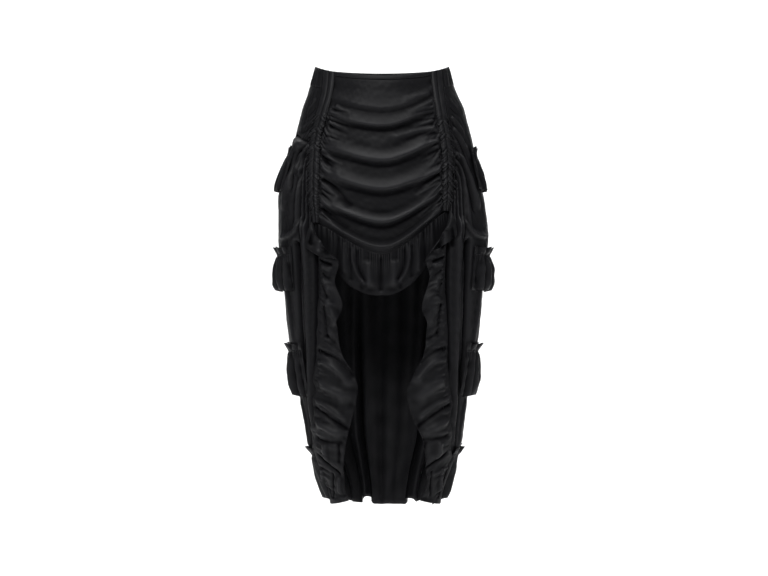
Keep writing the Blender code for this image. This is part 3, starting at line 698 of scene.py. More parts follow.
def satin(name, painted_shade_colour, painted_highlight_colour, roughness):
    """Cotton-rich satin, woven fine with long floats.

    The floats give it a soft, slightly cool sheen on what faces the light. Its colour and specular
    level are painted from its folds: a painted highlight, paler and shinier, on its ridges, and
    painted shade, the full depth of black, in its hollows.
    """
    material = bpy.data.materials.new(name)
    material.use_nodes = True
    tree = material.node_tree
    tree.nodes.clear()
    out = add_node(tree, "ShaderNodeOutputMaterial")
    sewn = add_node(tree, "ShaderNodeUVMap", {"uv_map": "weave"})
    place = add_node(tree, "ShaderNodeTexCoord")
    warp = add_node(
        tree,
        "ShaderNodeTexWave",
        {"wave_type": "BANDS", "bands_direction": "X", "wave_profile": "SIN"},
        {"Scale": WAVE / WARP_SPACING, "Distortion": 0.6, "Detail": 1.0, "Detail Scale": 2.0},
        {"Vector": sewn.outputs["UV"]},
    )
    weft = add_node(
        tree,
        "ShaderNodeTexWave",
        {"wave_type": "BANDS", "bands_direction": "Y", "wave_profile": "SIN"},
        {"Scale": WAVE / WEFT_SPACING, "Distortion": 0.6, "Detail": 1.0, "Detail Scale": 2.0},
        {"Vector": sewn.outputs["UV"]},
    )
    yarns = add_node(
        tree,
        "ShaderNodeMath",
        {"operation": "MAXIMUM"},
        {},
        {0: warp.outputs["Fac"], 1: weft.outputs["Fac"]},
    )
    slubs = add_node(
        tree,
        "ShaderNodeTexNoise",
        {},
        {"Scale": SLUBS_PER_METRE, "Detail": 3.0, "Roughness": 0.6},
        {"Vector": place.outputs["Object"]},
    )
    patches = add_node(
        tree,
        "ShaderNodeTexNoise",
        {},
        {"Scale": PATCHES_PER_METRE, "Detail": 3.0, "Roughness": 0.55},
        {"Vector": place.outputs["Object"]},
    )
    # painted light: each point's value from hollow (0) to ridge (1), written on the mesh
    painted_fold_light = add_node(tree, "ShaderNodeAttribute", {"attribute_name": "painted_fold_light"})
    # painted shade in the hollows and a painted highlight on the ridges, mixed into the colour
    tone = add_node(
        tree,
        "ShaderNodeMix",
        {"data_type": "RGBA"},
        {"A": linear_colour(painted_shade_colour), "B": linear_colour(painted_highlight_colour)},
        {"Factor": painted_fold_light.outputs["Fac"]},
    )
    # painted highlight: the specular level rises on the ridges and drops in the hollows
    painted_highlight_level = add_node(
        tree,
        "ShaderNodeMapRange",
        {},
        {"From Min": 0.25, "From Max": 0.75, "To Min": 0.02, "To Max": 0.36},
        {"Value": painted_fold_light.outputs["Fac"]},
    )
    wear_and_painted_light = add_node(
        tree,
        "ShaderNodeMapRange",
        {},
        {"From Min": 0.3, "From Max": 0.7, "To Min": roughness - 0.05, "To Max": roughness + 0.06},
        {"Value": patches.outputs["Fac"]},
    )
    rise = add_node(
        tree,
        "ShaderNodeBump",
        {},
        {"Strength": 0.28, "Distance": 0.0002},
        {"Height": yarns.outputs["Value"]},
    )
    uneven = add_node(
        tree,
        "ShaderNodeBump",
        {},
        {"Strength": 0.25, "Distance": 0.0005},
        {"Height": slubs.outputs["Fac"], "Normal": rise.outputs["Normal"]},
    )
    cloth = add_node(
        tree,
        "ShaderNodeBsdfPrincipled",
        {},
        {
            "Metallic": 0.0,
            "IOR": 1.46,
        },
        {
            "Base Color": tone.outputs["Result"],
            "Roughness": wear_and_painted_light.outputs["Result"],
            "Specular IOR Level": painted_highlight_level.outputs["Result"],
            "Normal": uneven.outputs["Normal"],
        },
    )
    tree.links.new(cloth.outputs["BSDF"], out.inputs["Surface"])
    return material


def running_mean(grid, count):
    """Each row of a grid averaged with its neighbours, as many on either side."""
    padded = np.concatenate([grid[:1]] * count + [grid] + [grid[-1:]] * count)
    total = np.cumsum(np.concatenate([padded[:1] * 0, padded]), axis=0)
    return (total[2 * count + 1 :] - total[: -2 * count - 1]) / (2 * count + 1)


def ridges_and_hollows(points, columns, rows):
    """From 0 in the deepest hollow of the cloth to 1 on its sharpest ridge, for painted shade and
    highlight.
    """
    grid = points.reshape(rows + 1, columns + 1, 3)
    around = np.gradient(grid, axis=1)
    down = np.gradient(grid, axis=0)
    normal = np.cross(around, down)
    normal /= np.linalg.norm(normal, axis=2)[..., None] + 1e-12
    outward = grid - MIDDLE
    outward[..., 2] = 0.0
    normal *= np.sign(np.sum(normal * outward)) or 1.0
    wear_and_painted_light = np.full(grid.shape[:2], 0.5)
    for size in HOLLOWS:
        rows_near, columns_near = (
            max(1, round(size.reach / np.median(np.linalg.norm(way, axis=2))))
            for way in (down, around)
        )
        even = grid
        for _ in range(2):
            even = running_mean(even, min(rows_near, rows // 3))
            even = running_mean(even.swapaxes(0, 1), columns_near).swapaxes(0, 1)
        height = np.sum((grid - even) * normal, axis=2)
        wear_and_painted_light += 0.5 * size.share * np.clip(height / size.depth, -1.0, 1.0)
    return np.clip(wear_and_painted_light, 0.0, 1.0).ravel()


def cloth_piece(name, pattern, columns, rows, thickness, flat, cloth, node):
    """A cut piece: a grid laid to its pattern, with the weave's map, then given its wall."""
    u, v = np.meshgrid(np.linspace(0, 1, columns + 1), np.linspace(0, 1, rows + 1))
    points = pattern(u.ravel(), v.ravel())
    start = (np.arange(rows)[:, None] * (columns + 1) + np.arange(columns)).ravel()
    faces = np.stack([start, start + columns + 1, start + columns + 2, start + 1], axis=1)
    mesh = bpy.data.meshes.new(name)
    mesh.from_pydata(points.tolist(), [], faces.tolist())
    weave = mesh.uv_layers.new(name="weave")
    corners = faces.ravel()
    spots = np.stack([u.ravel()[corners] * flat[0], v.ravel()[corners] * flat[1]], axis=1)
    weave.data.foreach_set("uv", spots.ravel())
    # painted light: each point's value from hollow (painted shade) to ridge (painted highlight), read
    # by the cloth's colour and specular level
    wear_and_painted_light = mesh.attributes.new("painted_fold_light", "FLOAT", "POINT")
    wear_and_painted_light.data.foreach_set("value", ridges_and_hollows(points, columns, rows))
    mesh.materials.append(cloth)
    mesh.shade_smooth()
    piece = bpy.data.objects.new(name, mesh)
    bpy.context.scene.collection.objects.link(piece)
    wall = piece.modifiers.new("Wall", "SOLIDIFY")
    wall.thickness = thickness
    wall.offset = 0.0
    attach(piece, "root")
    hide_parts(node)


def band_angles(u, v, first, last, height):
    """Angles along a strip at the waist, from one casing's edge to another's, and heights."""
    ends = []
    for side, column in (first, last):
        rows = CASINGS[side]
        start = angle_at(read_table(rows, "z", column, rows[0].z), rows[0].z, side)
        z = waist_height(start) - height * v
        ends.append(angle_at(read_table(rows, "z", column, z), z, side))
    once_round = 2 * math.pi if last == ("left", "outer") else 0.0
    angle = mix(ends[0], ends[1] + once_round, u)
    return angle, waist_height(angle) - height * v


def binding_pattern(u, v):
    """The flat binding along the front panel's top, slightly rounded."""
    angle, z = band_angles(u, v, ("left", "inner"), ("right", "inner"), BINDING_HEIGHT)
    return form_point(angle, z, BINDING_OUT + BINDING_ROLL * np.sin(math.pi * v))


def waistband_pattern(u, v):
    """The gathered band: uneven upright gathers, flat where it is stitched at top and foot."""
    angle, z = band_angles(u, v, ("right", "outer"), ("left", "outer"), BAND_HEIGHT)
    turns = BAND_GATHERS * u + 0.5 * np.sin(2 * math.pi * 5.3 * u + 1.0)
    turns += 0.3 * np.sin(2 * math.pi * 12.7 * u)
    gathers = np.cos(2 * math.pi * turns) * (0.6 + 0.4 * crumple(u * 0.6, z, 0.05, 11))
    loose = ease(v / 0.22) * ease((1 - v) / 0.12)
    return form_point(angle, z, BAND_GATHER_DEPTH * gathers * loose)


def swag_bow(level, s):
    """How far up from the lowest point to the casing a swag is: straight sides, a round foot."""
    round_part = mix(0.6, 0.3, np.clip(level / 3, 0, 1))
    rise = np.hypot(s, round_part) - round_part
    return rise / (np.hypot(1, round_part) - round_part)


def panel_levels(level, s):
    """Height on the front panel at a level, s from -1 at the left casing to 1 at the right."""
    levels = [Level(i, row.centre, row.left, row.right) for i, row in enumerate(SWAGS)]
    left = read_table(levels, "number", "left", level)
    right = read_table(levels, "number", "right", level)
    middle = read_table(levels, "number", "centre", level)
    end = np.where(s < 0, left, right)
    return mix(middle, end, swag_bow(level, s)), end


def panel_angle(s, end):
    """Angle on the front panel for a share of the way from its middle to a casing."""
    left = angle_at(read_table(CASINGS["left"], "z", "inner", end) + 0.001, end, "left")
    right = angle_at(read_table(CASINGS["right"], "z", "inner", end) + 0.001, end, "right")
    return np.abs(s) * np.where(s < 0, left, right)


def front_panel_pattern(u, v):
    """The ruched panel: swags, fine pulls from both casings, and gathers beside them."""
    s = 2 * u - 1
    level = v * (len(SWAGS) - 1)
    below = np.minimum(level.astype(int), len(SWAGS) - 2)
    part = level - below
    z, end = panel_levels(level, s)
    angle = panel_angle(s, end)
    z = np.where(v == 0, waist_height(angle) - BINDING_HEIGHT + 0.001, z)
    depth = np.array([row.hollow for row in SWAGS])[below]
    turn = np.array([row.turn for row in SWAGS])[below]
    swell = np.array([row.swell for row in SWAGS])[below]
    # a hollow under each swag, shallow and even where it meets the casings
    edge = np.abs(s) ** 3
    turn = mix(turn, 0.5, edge)
    swell = mix(swell, 0.5, edge)
    hollow = ease(part / turn) * ease((1 - part) / (1 - swell))
    hollow *= mix(depth, np.minimum(depth, SWAG_END), edge)
    last = np.clip(level - (len(SWAGS) - 2), 0, 1)
    tuck = LAST_TUCK * (1 - 0.6 * edge) * ease(last)
    # the creases and puckers that fan out from the casings, and the cloth's slight lumps
    around = ROUND * angle
    pulls = fine_pulls("left", 23) + fine_pulls("right", 24)
    relief = FRONT_DEPTH * crease_relief(around, z, FRONT_CREASES + pulls)
    beside = np.where(s < 0, 1 + s, 1 - s) * 0.115
    drawn = np.where(s < 0, pucker_depth(z, "left"), pucker_depth(z, "right"))
    puckers = np.where(
        s < 0, pucker_wave(z, beside, "left", 0.0), pucker_wave(z, beside, "right", 0.6)
    )
    puckers *= np.exp(-((beside / PUCKER_REACH) ** 2))
    relief += PANEL_PUCKER * drawn * puckers * ease(beside / PUCKER_START)
    relief += 0.0004 * crumple(around, z, BROAD_LUMP, 21)
    relief += 0.0002 * crumple(around, z, FINE_LUMP, 22)
    relief *= ease(v / 0.02) * ease((1 - v) / 0.02)
    return form_point(angle, z, relief - hollow - tuck)


def front_ruffle_pattern(u, v):
    """The gathered flounce under the front panel, with two full folds in its middle."""
    s = 2 * u - 1
    z, end = panel_levels(np.full_like(u, len(SWAGS) - 1), s)
    angle = panel_angle(s, end) * (1 + FRONT_RUFFLE_SPREAD * v)
    angle += np.sign(s) * FRONT_RUFFLE_TURN * np.abs(s) ** 14
    tucked = LAST_TUCK * (1 - 0.6 * np.abs(s) ** 3)
    length = read_table(FRONT_FALLS, "across", "length", np.abs(s))
    around = ROUND * angle
    z = z + 0.0008 - length * v
    turns = FRONT_RUFFLE_GATHERS * u + 0.7 * np.sin(2 * math.pi * 4.1 * u)
    turns += 0.4 * np.sin(2 * math.pi * 9.3 * u)
    gathers = np.cos(2 * math.pi * turns) * np.exp(-((v / 0.30) ** 2)) * ease(v / 0.05)
    relief = crease_relief(around, z, FRONT_RUFFLE_CREASES) * ease(v / 0.15)
    relief += 0.0012 * gathers + 0.0006 * crumple(around, z, 0.03, 31)
    out = relief - tucked - (FRONT_RUFFLE_LEAN + 0.005 * np.abs(s) ** 3) * v
    return form_point(angle, z, out)


def casing_pattern(side):
    """A drawn casing: two tubes beside a stitched groove, puckered where it is gathered."""
    rows = CASINGS[side]

    def pattern(u, v):
        start = waist_height(angle_at(mix(rows[0].inner, rows[0].outer, u), rows[0].z, side))
        z = mix(start, rows[-1].z - 0.004, v)
        inner = read_table(rows, "z", "inner", z)
        outer = read_table(rows, "z", "outer", z)
        drawn = pucker_depth(z, side)
        beside = np.abs(u - CASING_MIDDLE) * (outer - inner)
        wave = pucker_wave(z, beside, side, 0.0)
        # the drawn tubes swing from side to side a little
        sway = 0.0010 * drawn * pucker_wave(z, 0.0, side, 1.2)
        angle = angle_at(mix(inner, outer, u) + sway, z, side)
        out = np.full_like(u, CASING_GROOVES[side])
        for middle, half in CASING_TUBES:
            round_part = np.clip(1 - ((u - middle) / half) ** 2, 0, 1)
            out += CASING_TUBE * np.sqrt(round_part)
        free = ease((np.abs(u - CASING_MIDDLE) - 0.15) / 0.3)
        out += CASING_PUCKERS[side] * drawn * wave * mix(0.0010, 0.0024, free)
        out += 0.0004 * crumple(u * 0.03, z, 0.018, 41)
        return form_point(angle, z, out)

    return pattern


def side_panel_pattern(side):
    """A draped side panel: gathers fan from the casing and turn into long folds."""
    seam = math.radians(SIDE_SEAM) * direction(side)
    creases = SIDE_CREASES[side]
    seed = 51 if side == "left" else 61

    def pattern(u, v):
        # the grid is finer beside the casing and in the upper half, where the small folds are
        across = 0.35 * u + 0.65 * u**3
        top_front = angle_at(side_edge(-0.05, side), -0.05, side)
        hem_front = angle_at(side_edge(-0.85, side), -0.85, side)
        top = waist_height(mix(top_front, seam, across)) - BAND_HEIGHT + 0.001
        hem = hem_height(mix(hem_front, seam, across))
        z = mix(top, hem, 0.45 * v + 0.55 * v**2)
        last = CASINGS[side][-1].z
        under = SIDE_UNDER * ease((z - last) / 0.01)
        angle = mix(angle_at(side_edge(z, side) - under, z, side), seam, across)
        around = ROUND * angle
        relief = SIDE_DEPTH * crease_relief(around, z, creases)
        narrowed = ease((z + 0.86) / 0.10)
        relief *= mix(0.35, 1.0, narrowed)
        beside = np.abs(around - ROUND * angle_at(side_edge(z, side), z, side))
        drawn = pucker_depth(z, side)
        puckers = pucker_wave(z, beside, side, 0.3) * np.exp(-((beside / PUCKER_REACH) ** 2))
        relief += SIDE_PUCKER * drawn * puckers * ease(beside / PUCKER_START)
        relief += 0.0007 * crumple(around, z, BROAD_LUMP, seed)
        relief += 0.0003 * crumple(around, z, FINE_LUMP, seed + 1)
        relief -= SIDE_INWARDS * ease(v / 0.08)
        relief *= ease(v / 0.03) * ease((1 - across) / 0.03) * ease(across / 0.02)
        return form_point(angle, z, relief)

    return pattern


def back_panel_pattern(u, v):
    """The long back, with uneven soft folds that deepen towards the hem."""
    seam = math.radians(SIDE_SEAM) + SEAM_GAP
    angle = mix(seam, 2 * math.pi - seam, u)
    top = waist_height(angle) - BAND_HEIGHT + 0.001
    z = mix(top, hem_height(angle), v)
    turned = np.degrees(angle)
    relief = np.zeros_like(u)
    for fold in BACK_FOLDS:
        middle = mix(fold.top, fold.hem, v) + 0.8 * np.sin(9 * v + fold.top)
        shape = np.exp(-(((turned - middle) / fold.width) ** 2))
        relief -= mix(fold.high, fold.low, ease((v - 0.35) / 0.55)) * shape
    around = ROUND * angle
    relief += 0.0008 * crumple(around, z, 0.05, 71) - 0.0008
    relief *= ease(v / 0.02) * ease(u / 0.012) * ease((1 - u) / 0.012)
    return form_point(angle, z, relief)


def fine_pulls(side, seed):
    """Short uneven creases on the front panel that fan out from a casing, in millimetres."""
    pick = np.random.default_rng(seed)
    way = -direction(side)
    creases = []
    at = -86.0
    while at > -292:
        start = read_table(CASINGS[side], "z", "inner", np.array([at / 1000]))[0] * 1000 - 2
        long = pick.uniform(14, 44)
        slope = mix(0.35, 0.95, (-86 - at) / 200) * pick.uniform(0.8, 1.2)
        bow = pick.uniform(0.05, 0.16) * long
        high = pick.uniform(1.0, 2.4) * pick.choice([1, -1])
        creases.append(
            Crease(
                -way * start, at, way * 0.5 * long - way * start, at - 0.5 * slope * long + 0.3 * bow,
                way * long - way * start, at - slope * long + bow,
                pick.uniform(1.5, 2.1), pick.uniform(2.0, 3.4), high, 0.15 * high,
            )
        )
        at -= pick.uniform(3.5, 9.0)
    return creases


def small_gathers(side, seed):
    """Short uneven creases where an edge ruffle is drawn up on its seam, in millimetres."""
    pick = np.random.default_rng(seed)
    first, last = EDGE_RUFFLES[side][2].z * 1000, EDGE_RUFFLES[side][-1].z * 1000
    creases = []
    at = first
    while at > last + 12:
        height = np.array([at / 1000])
        cover = read_table(EDGE_RUFFLES[side], "z", "cover", height)
        seam = (side_edge(height, side) + cover)[0] * 1000 * direction(side)
        inwards = -direction(side) * pick.uniform(9, 28)
        drop = pick.uniform(1, 16)
        high = pick.uniform(1.0, 2.4) * pick.choice([1, 1, -1])
        seam += pick.uniform(0.0, 0.9) * inwards
        creases.append(
            Crease(
                seam, at, seam + 0.5 * inwards, at - 0.3 * drop, seam + inwards, at - drop,
                pick.uniform(1.6, 2.6), pick.uniform(2.6, 4.4), high, 0.1 * high,
            )
        )
        at -= pick.uniform(4, 11)
    return creases


def mirrored(crease):
    """The same crease on the other side, a little higher."""
    return crease._replace(
        x=-crease.x, mid_x=-crease.mid_x, end_x=-crease.end_x,
        z=crease.z + 4, mid_z=crease.mid_z + 7, end_z=crease.end_z + 5,
    )


def edge_ruffle_pattern(side):
    """The ruffle down a front edge: drooping lobes with fine gathers at the seam."""
    rows = EDGE_RUFFLES[side]
    seed = 81 if side == "left" else 91
    creases = EDGE_CREASES if side == "left" else [mirrored(crease) for crease in EDGE_CREASES]
    gathers = small_gathers(side, seed)

    def pattern(u, v):
        seam = mix(rows[0].z, rows[-1].z, u)
        inwards = read_table(rows, "z", "inwards", seam)
        drop = read_table(rows, "z", "drop", seam)
        forward = read_table(rows, "z", "forward", seam)
        wave = read_table(rows, "z", "wave", seam)
        lift = read_table(rows, "z", "lift", seam)
        swell = read_table(rows, "z", "swell", seam)
        cover = read_table(rows, "z", "cover", seam)
        # its gathered edge wanders a little on the panel
        cover *= 1 + 0.3 * crumple(np.zeros_like(seam), seam, 0.035, seed + 2)
        across = side_edge(seam, side) - 0.0004
        z = seam - drop * v**1.3 + EDGE_CORNER * v**2 * ease((u - 0.94) / 0.06)
        start = angle_at(across + cover, seam, side)
        free = angle_at(np.maximum(across - inwards, 0.02), z, side)
        # waves of uneven width that deepen towards the free edge
        shift = 0.35 * np.sin(2 * math.pi * 3.3 * u + seed) + 0.2 * np.sin(2 * math.pi * 7.1 * u)
        waves = np.cos(2 * math.pi * (EDGE_WAVES * u + shift * v))
        angle = mix(start, free, v)
        around = ROUND * angle
        out = mix(lift, forward, v) + 0.35 * waves * wave * v**1.2
        out += swell * np.sin(math.pi * v) ** 1.2
        out += EDGE_DEPTH * ease(v / 0.10) * crease_relief(around, z, creases)
        out += ease(v / 0.15) * crease_relief(around, z, gathers)
        out += 0.0009 * v * crumple(around, z, 0.020, seed)
        return form_point(angle, z, out)

    return pattern


def tier_pattern(name):
    """A ruffle tier: gathered at its stitch line, waving in its heading and its flounce."""
    tier = TIERS[name]
    pick = np.random.default_rng(len(name) + tier.waves)
    sizes = pick.uniform(0.65, 1.25, 9)
    shifts = pick.uniform(0, 2 * math.pi, 9)

    def pattern(u, v):
        angle = np.radians(mix(tier.right, 360.0 - tier.left, u))
        below = mix(-1.0, 1.0, v)
        stand = read_table(TIER_ROWS, "below", "stand", below)
        depth = read_table(TIER_ROWS, "below", "wave", below)
        stitch = tier.z - tier.sag * np.maximum(-np.cos(angle), 0) ** 2
        stitch += 0.0012 * crumple(angle * 0.17, np.zeros_like(u), 0.03, 8)
        length = np.where(below < 0, HEADING_HEIGHT, tier.length)
        # waves of uneven width and depth, with a smaller one between them
        shift = np.zeros_like(u)
        size = np.ones_like(u)
        for i in range(4):
            shift += 0.16 * sizes[i] * np.sin(2 * math.pi * (i + 2.3) * u + shifts[i])
            size += 0.11 * sizes[i + 4] * np.sin(2 * math.pi * (2 * i + 3.7) * u + shifts[i + 4])
        ends = ease(u / 0.01) * ease((1 - u) / 0.01)
        waves = np.cos(2 * math.pi * (tier.waves * u + shift * ends))
        waves += 0.25 * np.cos(2 * math.pi * (1.7 * tier.waves * u + 2 * shift * ends) + below)
        # fine gathers on both sides of the stitch line
        near = np.exp(-((below / 0.16) ** 2)) * ease(np.abs(below) / 0.03)
        fine = np.cos(2 * math.pi * (3.2 * tier.waves * u + 0.8 * np.sin(2 * math.pi * 8.3 * u)))
        # the tier lies closer towards its ends, and flat where they are sewn down
        fullness = mix(tier.ends, 1.0, np.sin(math.pi * u) ** 1.2)
        fullness *= mix(0.15, 1.0, ease(u / 0.08) * ease((1 - u) / 0.08))
        out = TIER_OUT + fullness * stand + np.sqrt(fullness) * depth * size * waves
        out += 0.0012 * fine * near
        out += 0.0010 * crumple(angle * 0.17, below * length, 0.024, tier.waves)
        # its free edges rise and fall a little
        ragged = 0.0018 * waves + 0.0026 * crumple(angle * 0.17, np.zeros_like(u), 0.05, 7)
        ragged *= ease(np.abs(below) - 0.3)
        return form_point(angle, stitch - below * length + ragged, out)

    return pattern


def stitch_line(points, normals):
    """Centres, half lengths and normals of the stitches along a line of points."""
    gaps = np.linalg.norm(np.diff(points, axis=0), axis=1)
    along = np.concatenate([[0.0], np.cumsum(gaps)])
    spots = np.arange(STITCH_STEP / 2, along[-1] - STITCH_STEP / 2, STITCH_STEP)
    made = []
    for spot in spots:
        centre = np.array([np.interp(spot, along, points[:, i]) for i in range(3)])
        end = spot + STITCH_LENGTH / 2
        ahead = np.array([np.interp(end, along, points[:, i]) for i in range(3)])
        normal = np.array([np.interp(spot, along, normals[:, i]) for i in range(3)])
        made.append((centre, ahead - centre, normal))
    return made


def outward_normals(pattern, u, v, points):
    """Unit normals of a pattern along a line on it, turned away from the wearer."""
    wide = pattern(np.clip(u + 0.002, 0, 1), v) - pattern(np.clip(u - 0.002, 0, 1), v)
    tall = pattern(u, np.clip(v + 0.002, 0, 1)) - pattern(u, np.clip(v - 0.002, 0, 1))
    normal = np.cross(wide, tall)
    normal /= np.linalg.norm(normal, axis=1)[:, None] + 1e-12
    outward = points - MIDDLE
    outward[:, 2] = 0.0
    flip = np.sign(np.sum(normal * outward, axis=1))
    return normal * np.where(flip == 0, 1.0, flip)[:, None]


def add_stitch(points, faces, centre, half, up):
    """One rounded stitch, flat underneath and narrowed at both ends."""
    up = up / (np.linalg.norm(up) + 1e-12)
    across = np.cross(half, up)
    across /= np.linalg.norm(across) + 1e-12
    first, sides = len(points), len(THREAD_OUTLINE)
    for share, size in THREAD_ENDS:
        for x, y in THREAD_OUTLINE:
            spot = centre + half * share + across * x * THREAD_RADIUS * size
            points.append(spot + up * y * THREAD_RADIUS * size)
    for row in range(len(THREAD_ENDS) - 1):
        for i in range(sides):
            a = first + row * sides + i
            b = first + row * sides + (i + 1) % sides
            faces.append((a, a + sides, b + sides, b))
    last = len(points) - sides
    faces.append(tuple(first + i for i in range(sides)))
    faces.append(tuple(last + i for i in reversed(range(sides))))


def sew_lines(name, pattern, lines, out, thread):
    """Topstitching: one mesh of short stitches along all of a piece's lines, out on its cloth."""
    points, faces = [], []
    for u, v in lines:
        path = pattern(u, v)
        for centre, half, up in stitch_line(path, outward_normals(pattern, u, v, path)):
            centre = centre + up / (np.linalg.norm(up) + 1e-12) * out
            add_stitch(points, faces, centre, half, up)
    mesh = bpy.data.meshes.new(name)
    mesh.from_pydata([tuple(p) for p in points], [], faces)
    shape = bmesh.new()
    shape.from_mesh(mesh)
    bmesh.ops.recalc_face_normals(shape, faces=shape.faces)
    shape.to_mesh(mesh)
    shape.free()
    mesh.materials.append(thread)
    mesh.shade_smooth()
    piece = bpy.data.objects.new(name, mesh)
    bpy.context.scene.collection.objects.link(piece)
    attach(piece, "root")


def thread_material():
    """Matt polyester sewing thread, dyed with the cloth."""
    material = bpy.data.materials.new("black_thread")
    material.use_nodes = True
    tree = material.node_tree
    tree.nodes.clear()
    out = add_node(tree, "ShaderNodeOutputMaterial")
    place = add_node(tree, "ShaderNodeTexCoord")
    ply = add_node(
        tree,
        "ShaderNodeTexNoise",
        {},
        {"Scale": PLIES_PER_METRE, "Detail": 2.0},
        {"Vector": place.outputs["Object"]},
    )
    rise = add_node(
        tree,
        "ShaderNodeBump",
        {},
        {"Strength": 0.3, "Distance": 0.0002},
        {"Height": ply.outputs["Fac"]},
    )
    tone = add_node(
        tree,
        "ShaderNodeMix",
        {"data_type": "RGBA"},
        {"A": linear_colour("232325"), "B": linear_colour("2e2e31")},
        {"Factor": ply.outputs["Fac"]},
    )
    thread = add_node(
        tree,
        "ShaderNodeBsdfPrincipled",
        {},
        {"Roughness": 0.6, "Sheen Weight": 0.2},
        {"Base Color": tone.outputs["Result"], "Normal": rise.outputs["Normal"]},
    )
    tree.links.new(thread.outputs["BSDF"], out.inputs["Surface"])
    return material


def lay_floor():
    """A pale seamless paper: the floor, swept up into a backdrop far behind the skirt."""
    points, faces = [], []
    for y, rise in SWEEP:
        points += [(-FLOOR_HALF_WIDTH, y, FLOOR_Z + rise), (FLOOR_HALF_WIDTH, y, FLOOR_Z + rise)]
    for i in range(len(SWEEP) - 1):
        faces.append((2 * i, 2 * i + 1, 2 * i + 3, 2 * i + 2))
    mesh = bpy.data.meshes.new("floor")
    mesh.from_pydata(points, [], faces)
    mesh.shade_smooth()
    floor = bpy.data.objects.new("floor", mesh)
    bpy.context.scene.collection.objects.link(floor)
    curve = floor.modifiers.new("Sweep", "SUBSURF")
    curve.levels = 3
    curve.render_levels = 3
    paper = bpy.data.materials.new("pale_paper")
    paper.use_nodes = True
    shader = paper.node_tree.nodes["Principled BSDF"]
    shader.inputs["Base Color"].default_value = linear_colour("fbfbfb")
    shader.inputs["Roughness"].default_value = 0.9
    mesh.materials.append(paper)


def light_room():
    """A dim even room and broad soft lamps, one of them for the paper alone."""
    world = bpy.data.worlds.new("soft_room")
    world.use_nodes = True
    sky = world.node_tree.nodes["Background"]
    sky.inputs["Color"].default_value = (0.95, 0.96, 1.0, 1.0)
    sky.inputs["Strength"].default_value = ROOM_LIGHT
    bpy.context.scene.world = world
    for lamp in LAMPS:
        light = bpy.data.lights.new(lamp.name, "AREA")
        light.size = lamp.size
        light.energy = lamp.power
        lamp_object = bpy.data.objects.new(lamp.name, light)
        bpy.context.scene.collection.objects.link(lamp_object)
        lamp_object.location = lamp.place
        aim = [a - b for a, b in zip(lamp.aim, lamp.place)]
        level = math.hypot(aim[0], aim[1])
        lamp_object.rotation_euler = (
            math.pi / 2 + math.atan2(aim[2], level),
            0.0,
            math.atan2(-aim[0], aim[1]),
        )


def place_camera():
    """The camera at the photo's viewpoint, level and straight on."""
    camera = bpy.data.cameras.new("camera")
    camera.lens = CAMERA_LENS
    camera.sensor_width = CAMERA_SENSOR
    viewer = bpy.data.objects.new("camera", camera)
    bpy.context.scene.collection.objects.link(viewer)
    viewer.location = CAMERA_PLACE
    viewer.rotation_euler = (math.pi / 2, 0.0, 0.0)
    bpy.context.scene.camera = viewer
    bpy.context.scene.view_settings.view_transform = "Standard"


def level_line(v, first=0.004, last=0.996, count=400):
    """A line of stitches across a piece at a share of its height."""
    u = np.linspace(first, last, count)
    return u, np.full_like(u, v)


def upright_line(u, first=0.004, last=0.996, count=400):
    """A line of stitches down a piece at a share of its width."""
    v = np.linspace(first, last, count)
    return np.full_like(v, u), v


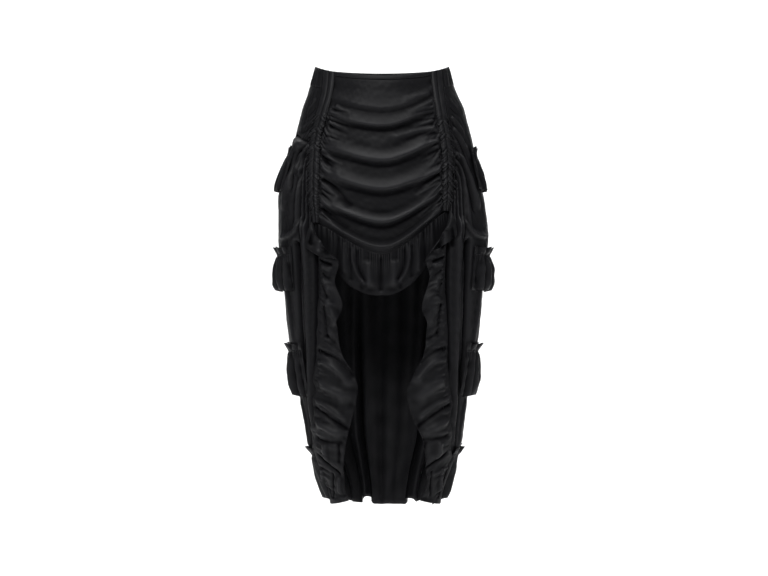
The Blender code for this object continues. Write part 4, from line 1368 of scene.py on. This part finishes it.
def sew_cloth(smooth, full):
    """All the cut pieces: the panels of smooth satin, and the ruffles of the full cloth."""
    cloth_piece(
        "waistband_cloth", waistband_pattern, 480, 10, BAND_CLOTH, (0.62, 0.036),
        smooth, "waistband",
    )
    cloth_piece(
        "front_binding_cloth", binding_pattern, 150, 6, BAND_CLOTH, (0.205, 0.014),
        smooth, "front_binding",
    )
    cloth_piece(
        "front_panel_cloth", front_panel_pattern, 180, 210, CLOTH, (0.22, 0.40),
        smooth, "front_panel",
    )
    cloth_piece(
        "front_ruffle_cloth", front_ruffle_pattern, 250, 44, CLOTH, (0.25, 0.078),
        full, "front_ruffle",
    )
    for side in ("left", "right"):
        cloth_piece(
            "casing_" + side + "_cloth", casing_pattern(side), 28, 280, CLOTH, (0.034, 0.33),
            smooth, "casing_" + side,
        )
        cloth_piece(
            "side_panel_" + side + "_cloth", side_panel_pattern(side), 150, 222, CLOTH,
            (0.16, 0.84), smooth, "side_panel_" + side,
        )
        cloth_piece(
            "edge_ruffle_" + side + "_cloth", edge_ruffle_pattern(side), 380, 26, CLOTH,
            (0.60, 0.055), full, "edge_ruffle_" + side,
        )
    cloth_piece(
        "back_panel_cloth", back_panel_pattern, 200, 100, CLOTH, (0.49, 0.83),
        smooth, "back_panel",
    )
    for name, tier in TIERS.items():
        length = HEADING_HEIGHT + tier.length
        cloth_piece(
            name + "_cloth", tier_pattern(name), 22 * tier.waves, 24, CLOTH, (tier.cut, length),
            full, name,
        )


def topstitch(thread):
    """The stitch lines of the waist, the casings' tubes, the back's hem and the tiers."""
    band_lines = [level_line(0.10), level_line(0.94)]
    sew_lines(
        "waistband_stitching", waistband_pattern, band_lines, ON_BAND_CLOTH, thread
    )
    sew_lines(
        "binding_stitching", binding_pattern, [level_line(0.85)], ON_BAND_CLOTH, thread
    )
    for side in ("left", "right"):
        casing_lines = [upright_line(u) for u in (0.05, CASING_MIDDLE, 0.84)]
        sew_lines(
            "casing_" + side + "_stitching", casing_pattern(side), casing_lines, ON_CLOTH,
            thread,
        )
    hem_lines = [level_line(0.978), level_line(0.986)]
    sew_lines("hem_stitching", back_panel_pattern, hem_lines, ON_CLOTH, thread)
    for name in TIERS:
        gather_lines = [level_line(0.5, count=900)]
        sew_lines(
            name + "_stitching", tier_pattern(name), gather_lines, ON_CLOTH,
            thread,
        )


def build():
    """The whole skirt with its room."""
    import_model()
    # the darker colour is painted shade for the hollows, the paler one a painted highlight for the
    # ridges
    smooth = satin("black_satin", "060607", "29292c", 0.46)
    full = satin("black_ruffle_cloth", "060607", "2a2a2d", 0.48)
    thread = thread_material()
    sew_cloth(smooth, full)
    topstitch(thread)
    lay_floor()
    light_room()
    place_camera()


build()
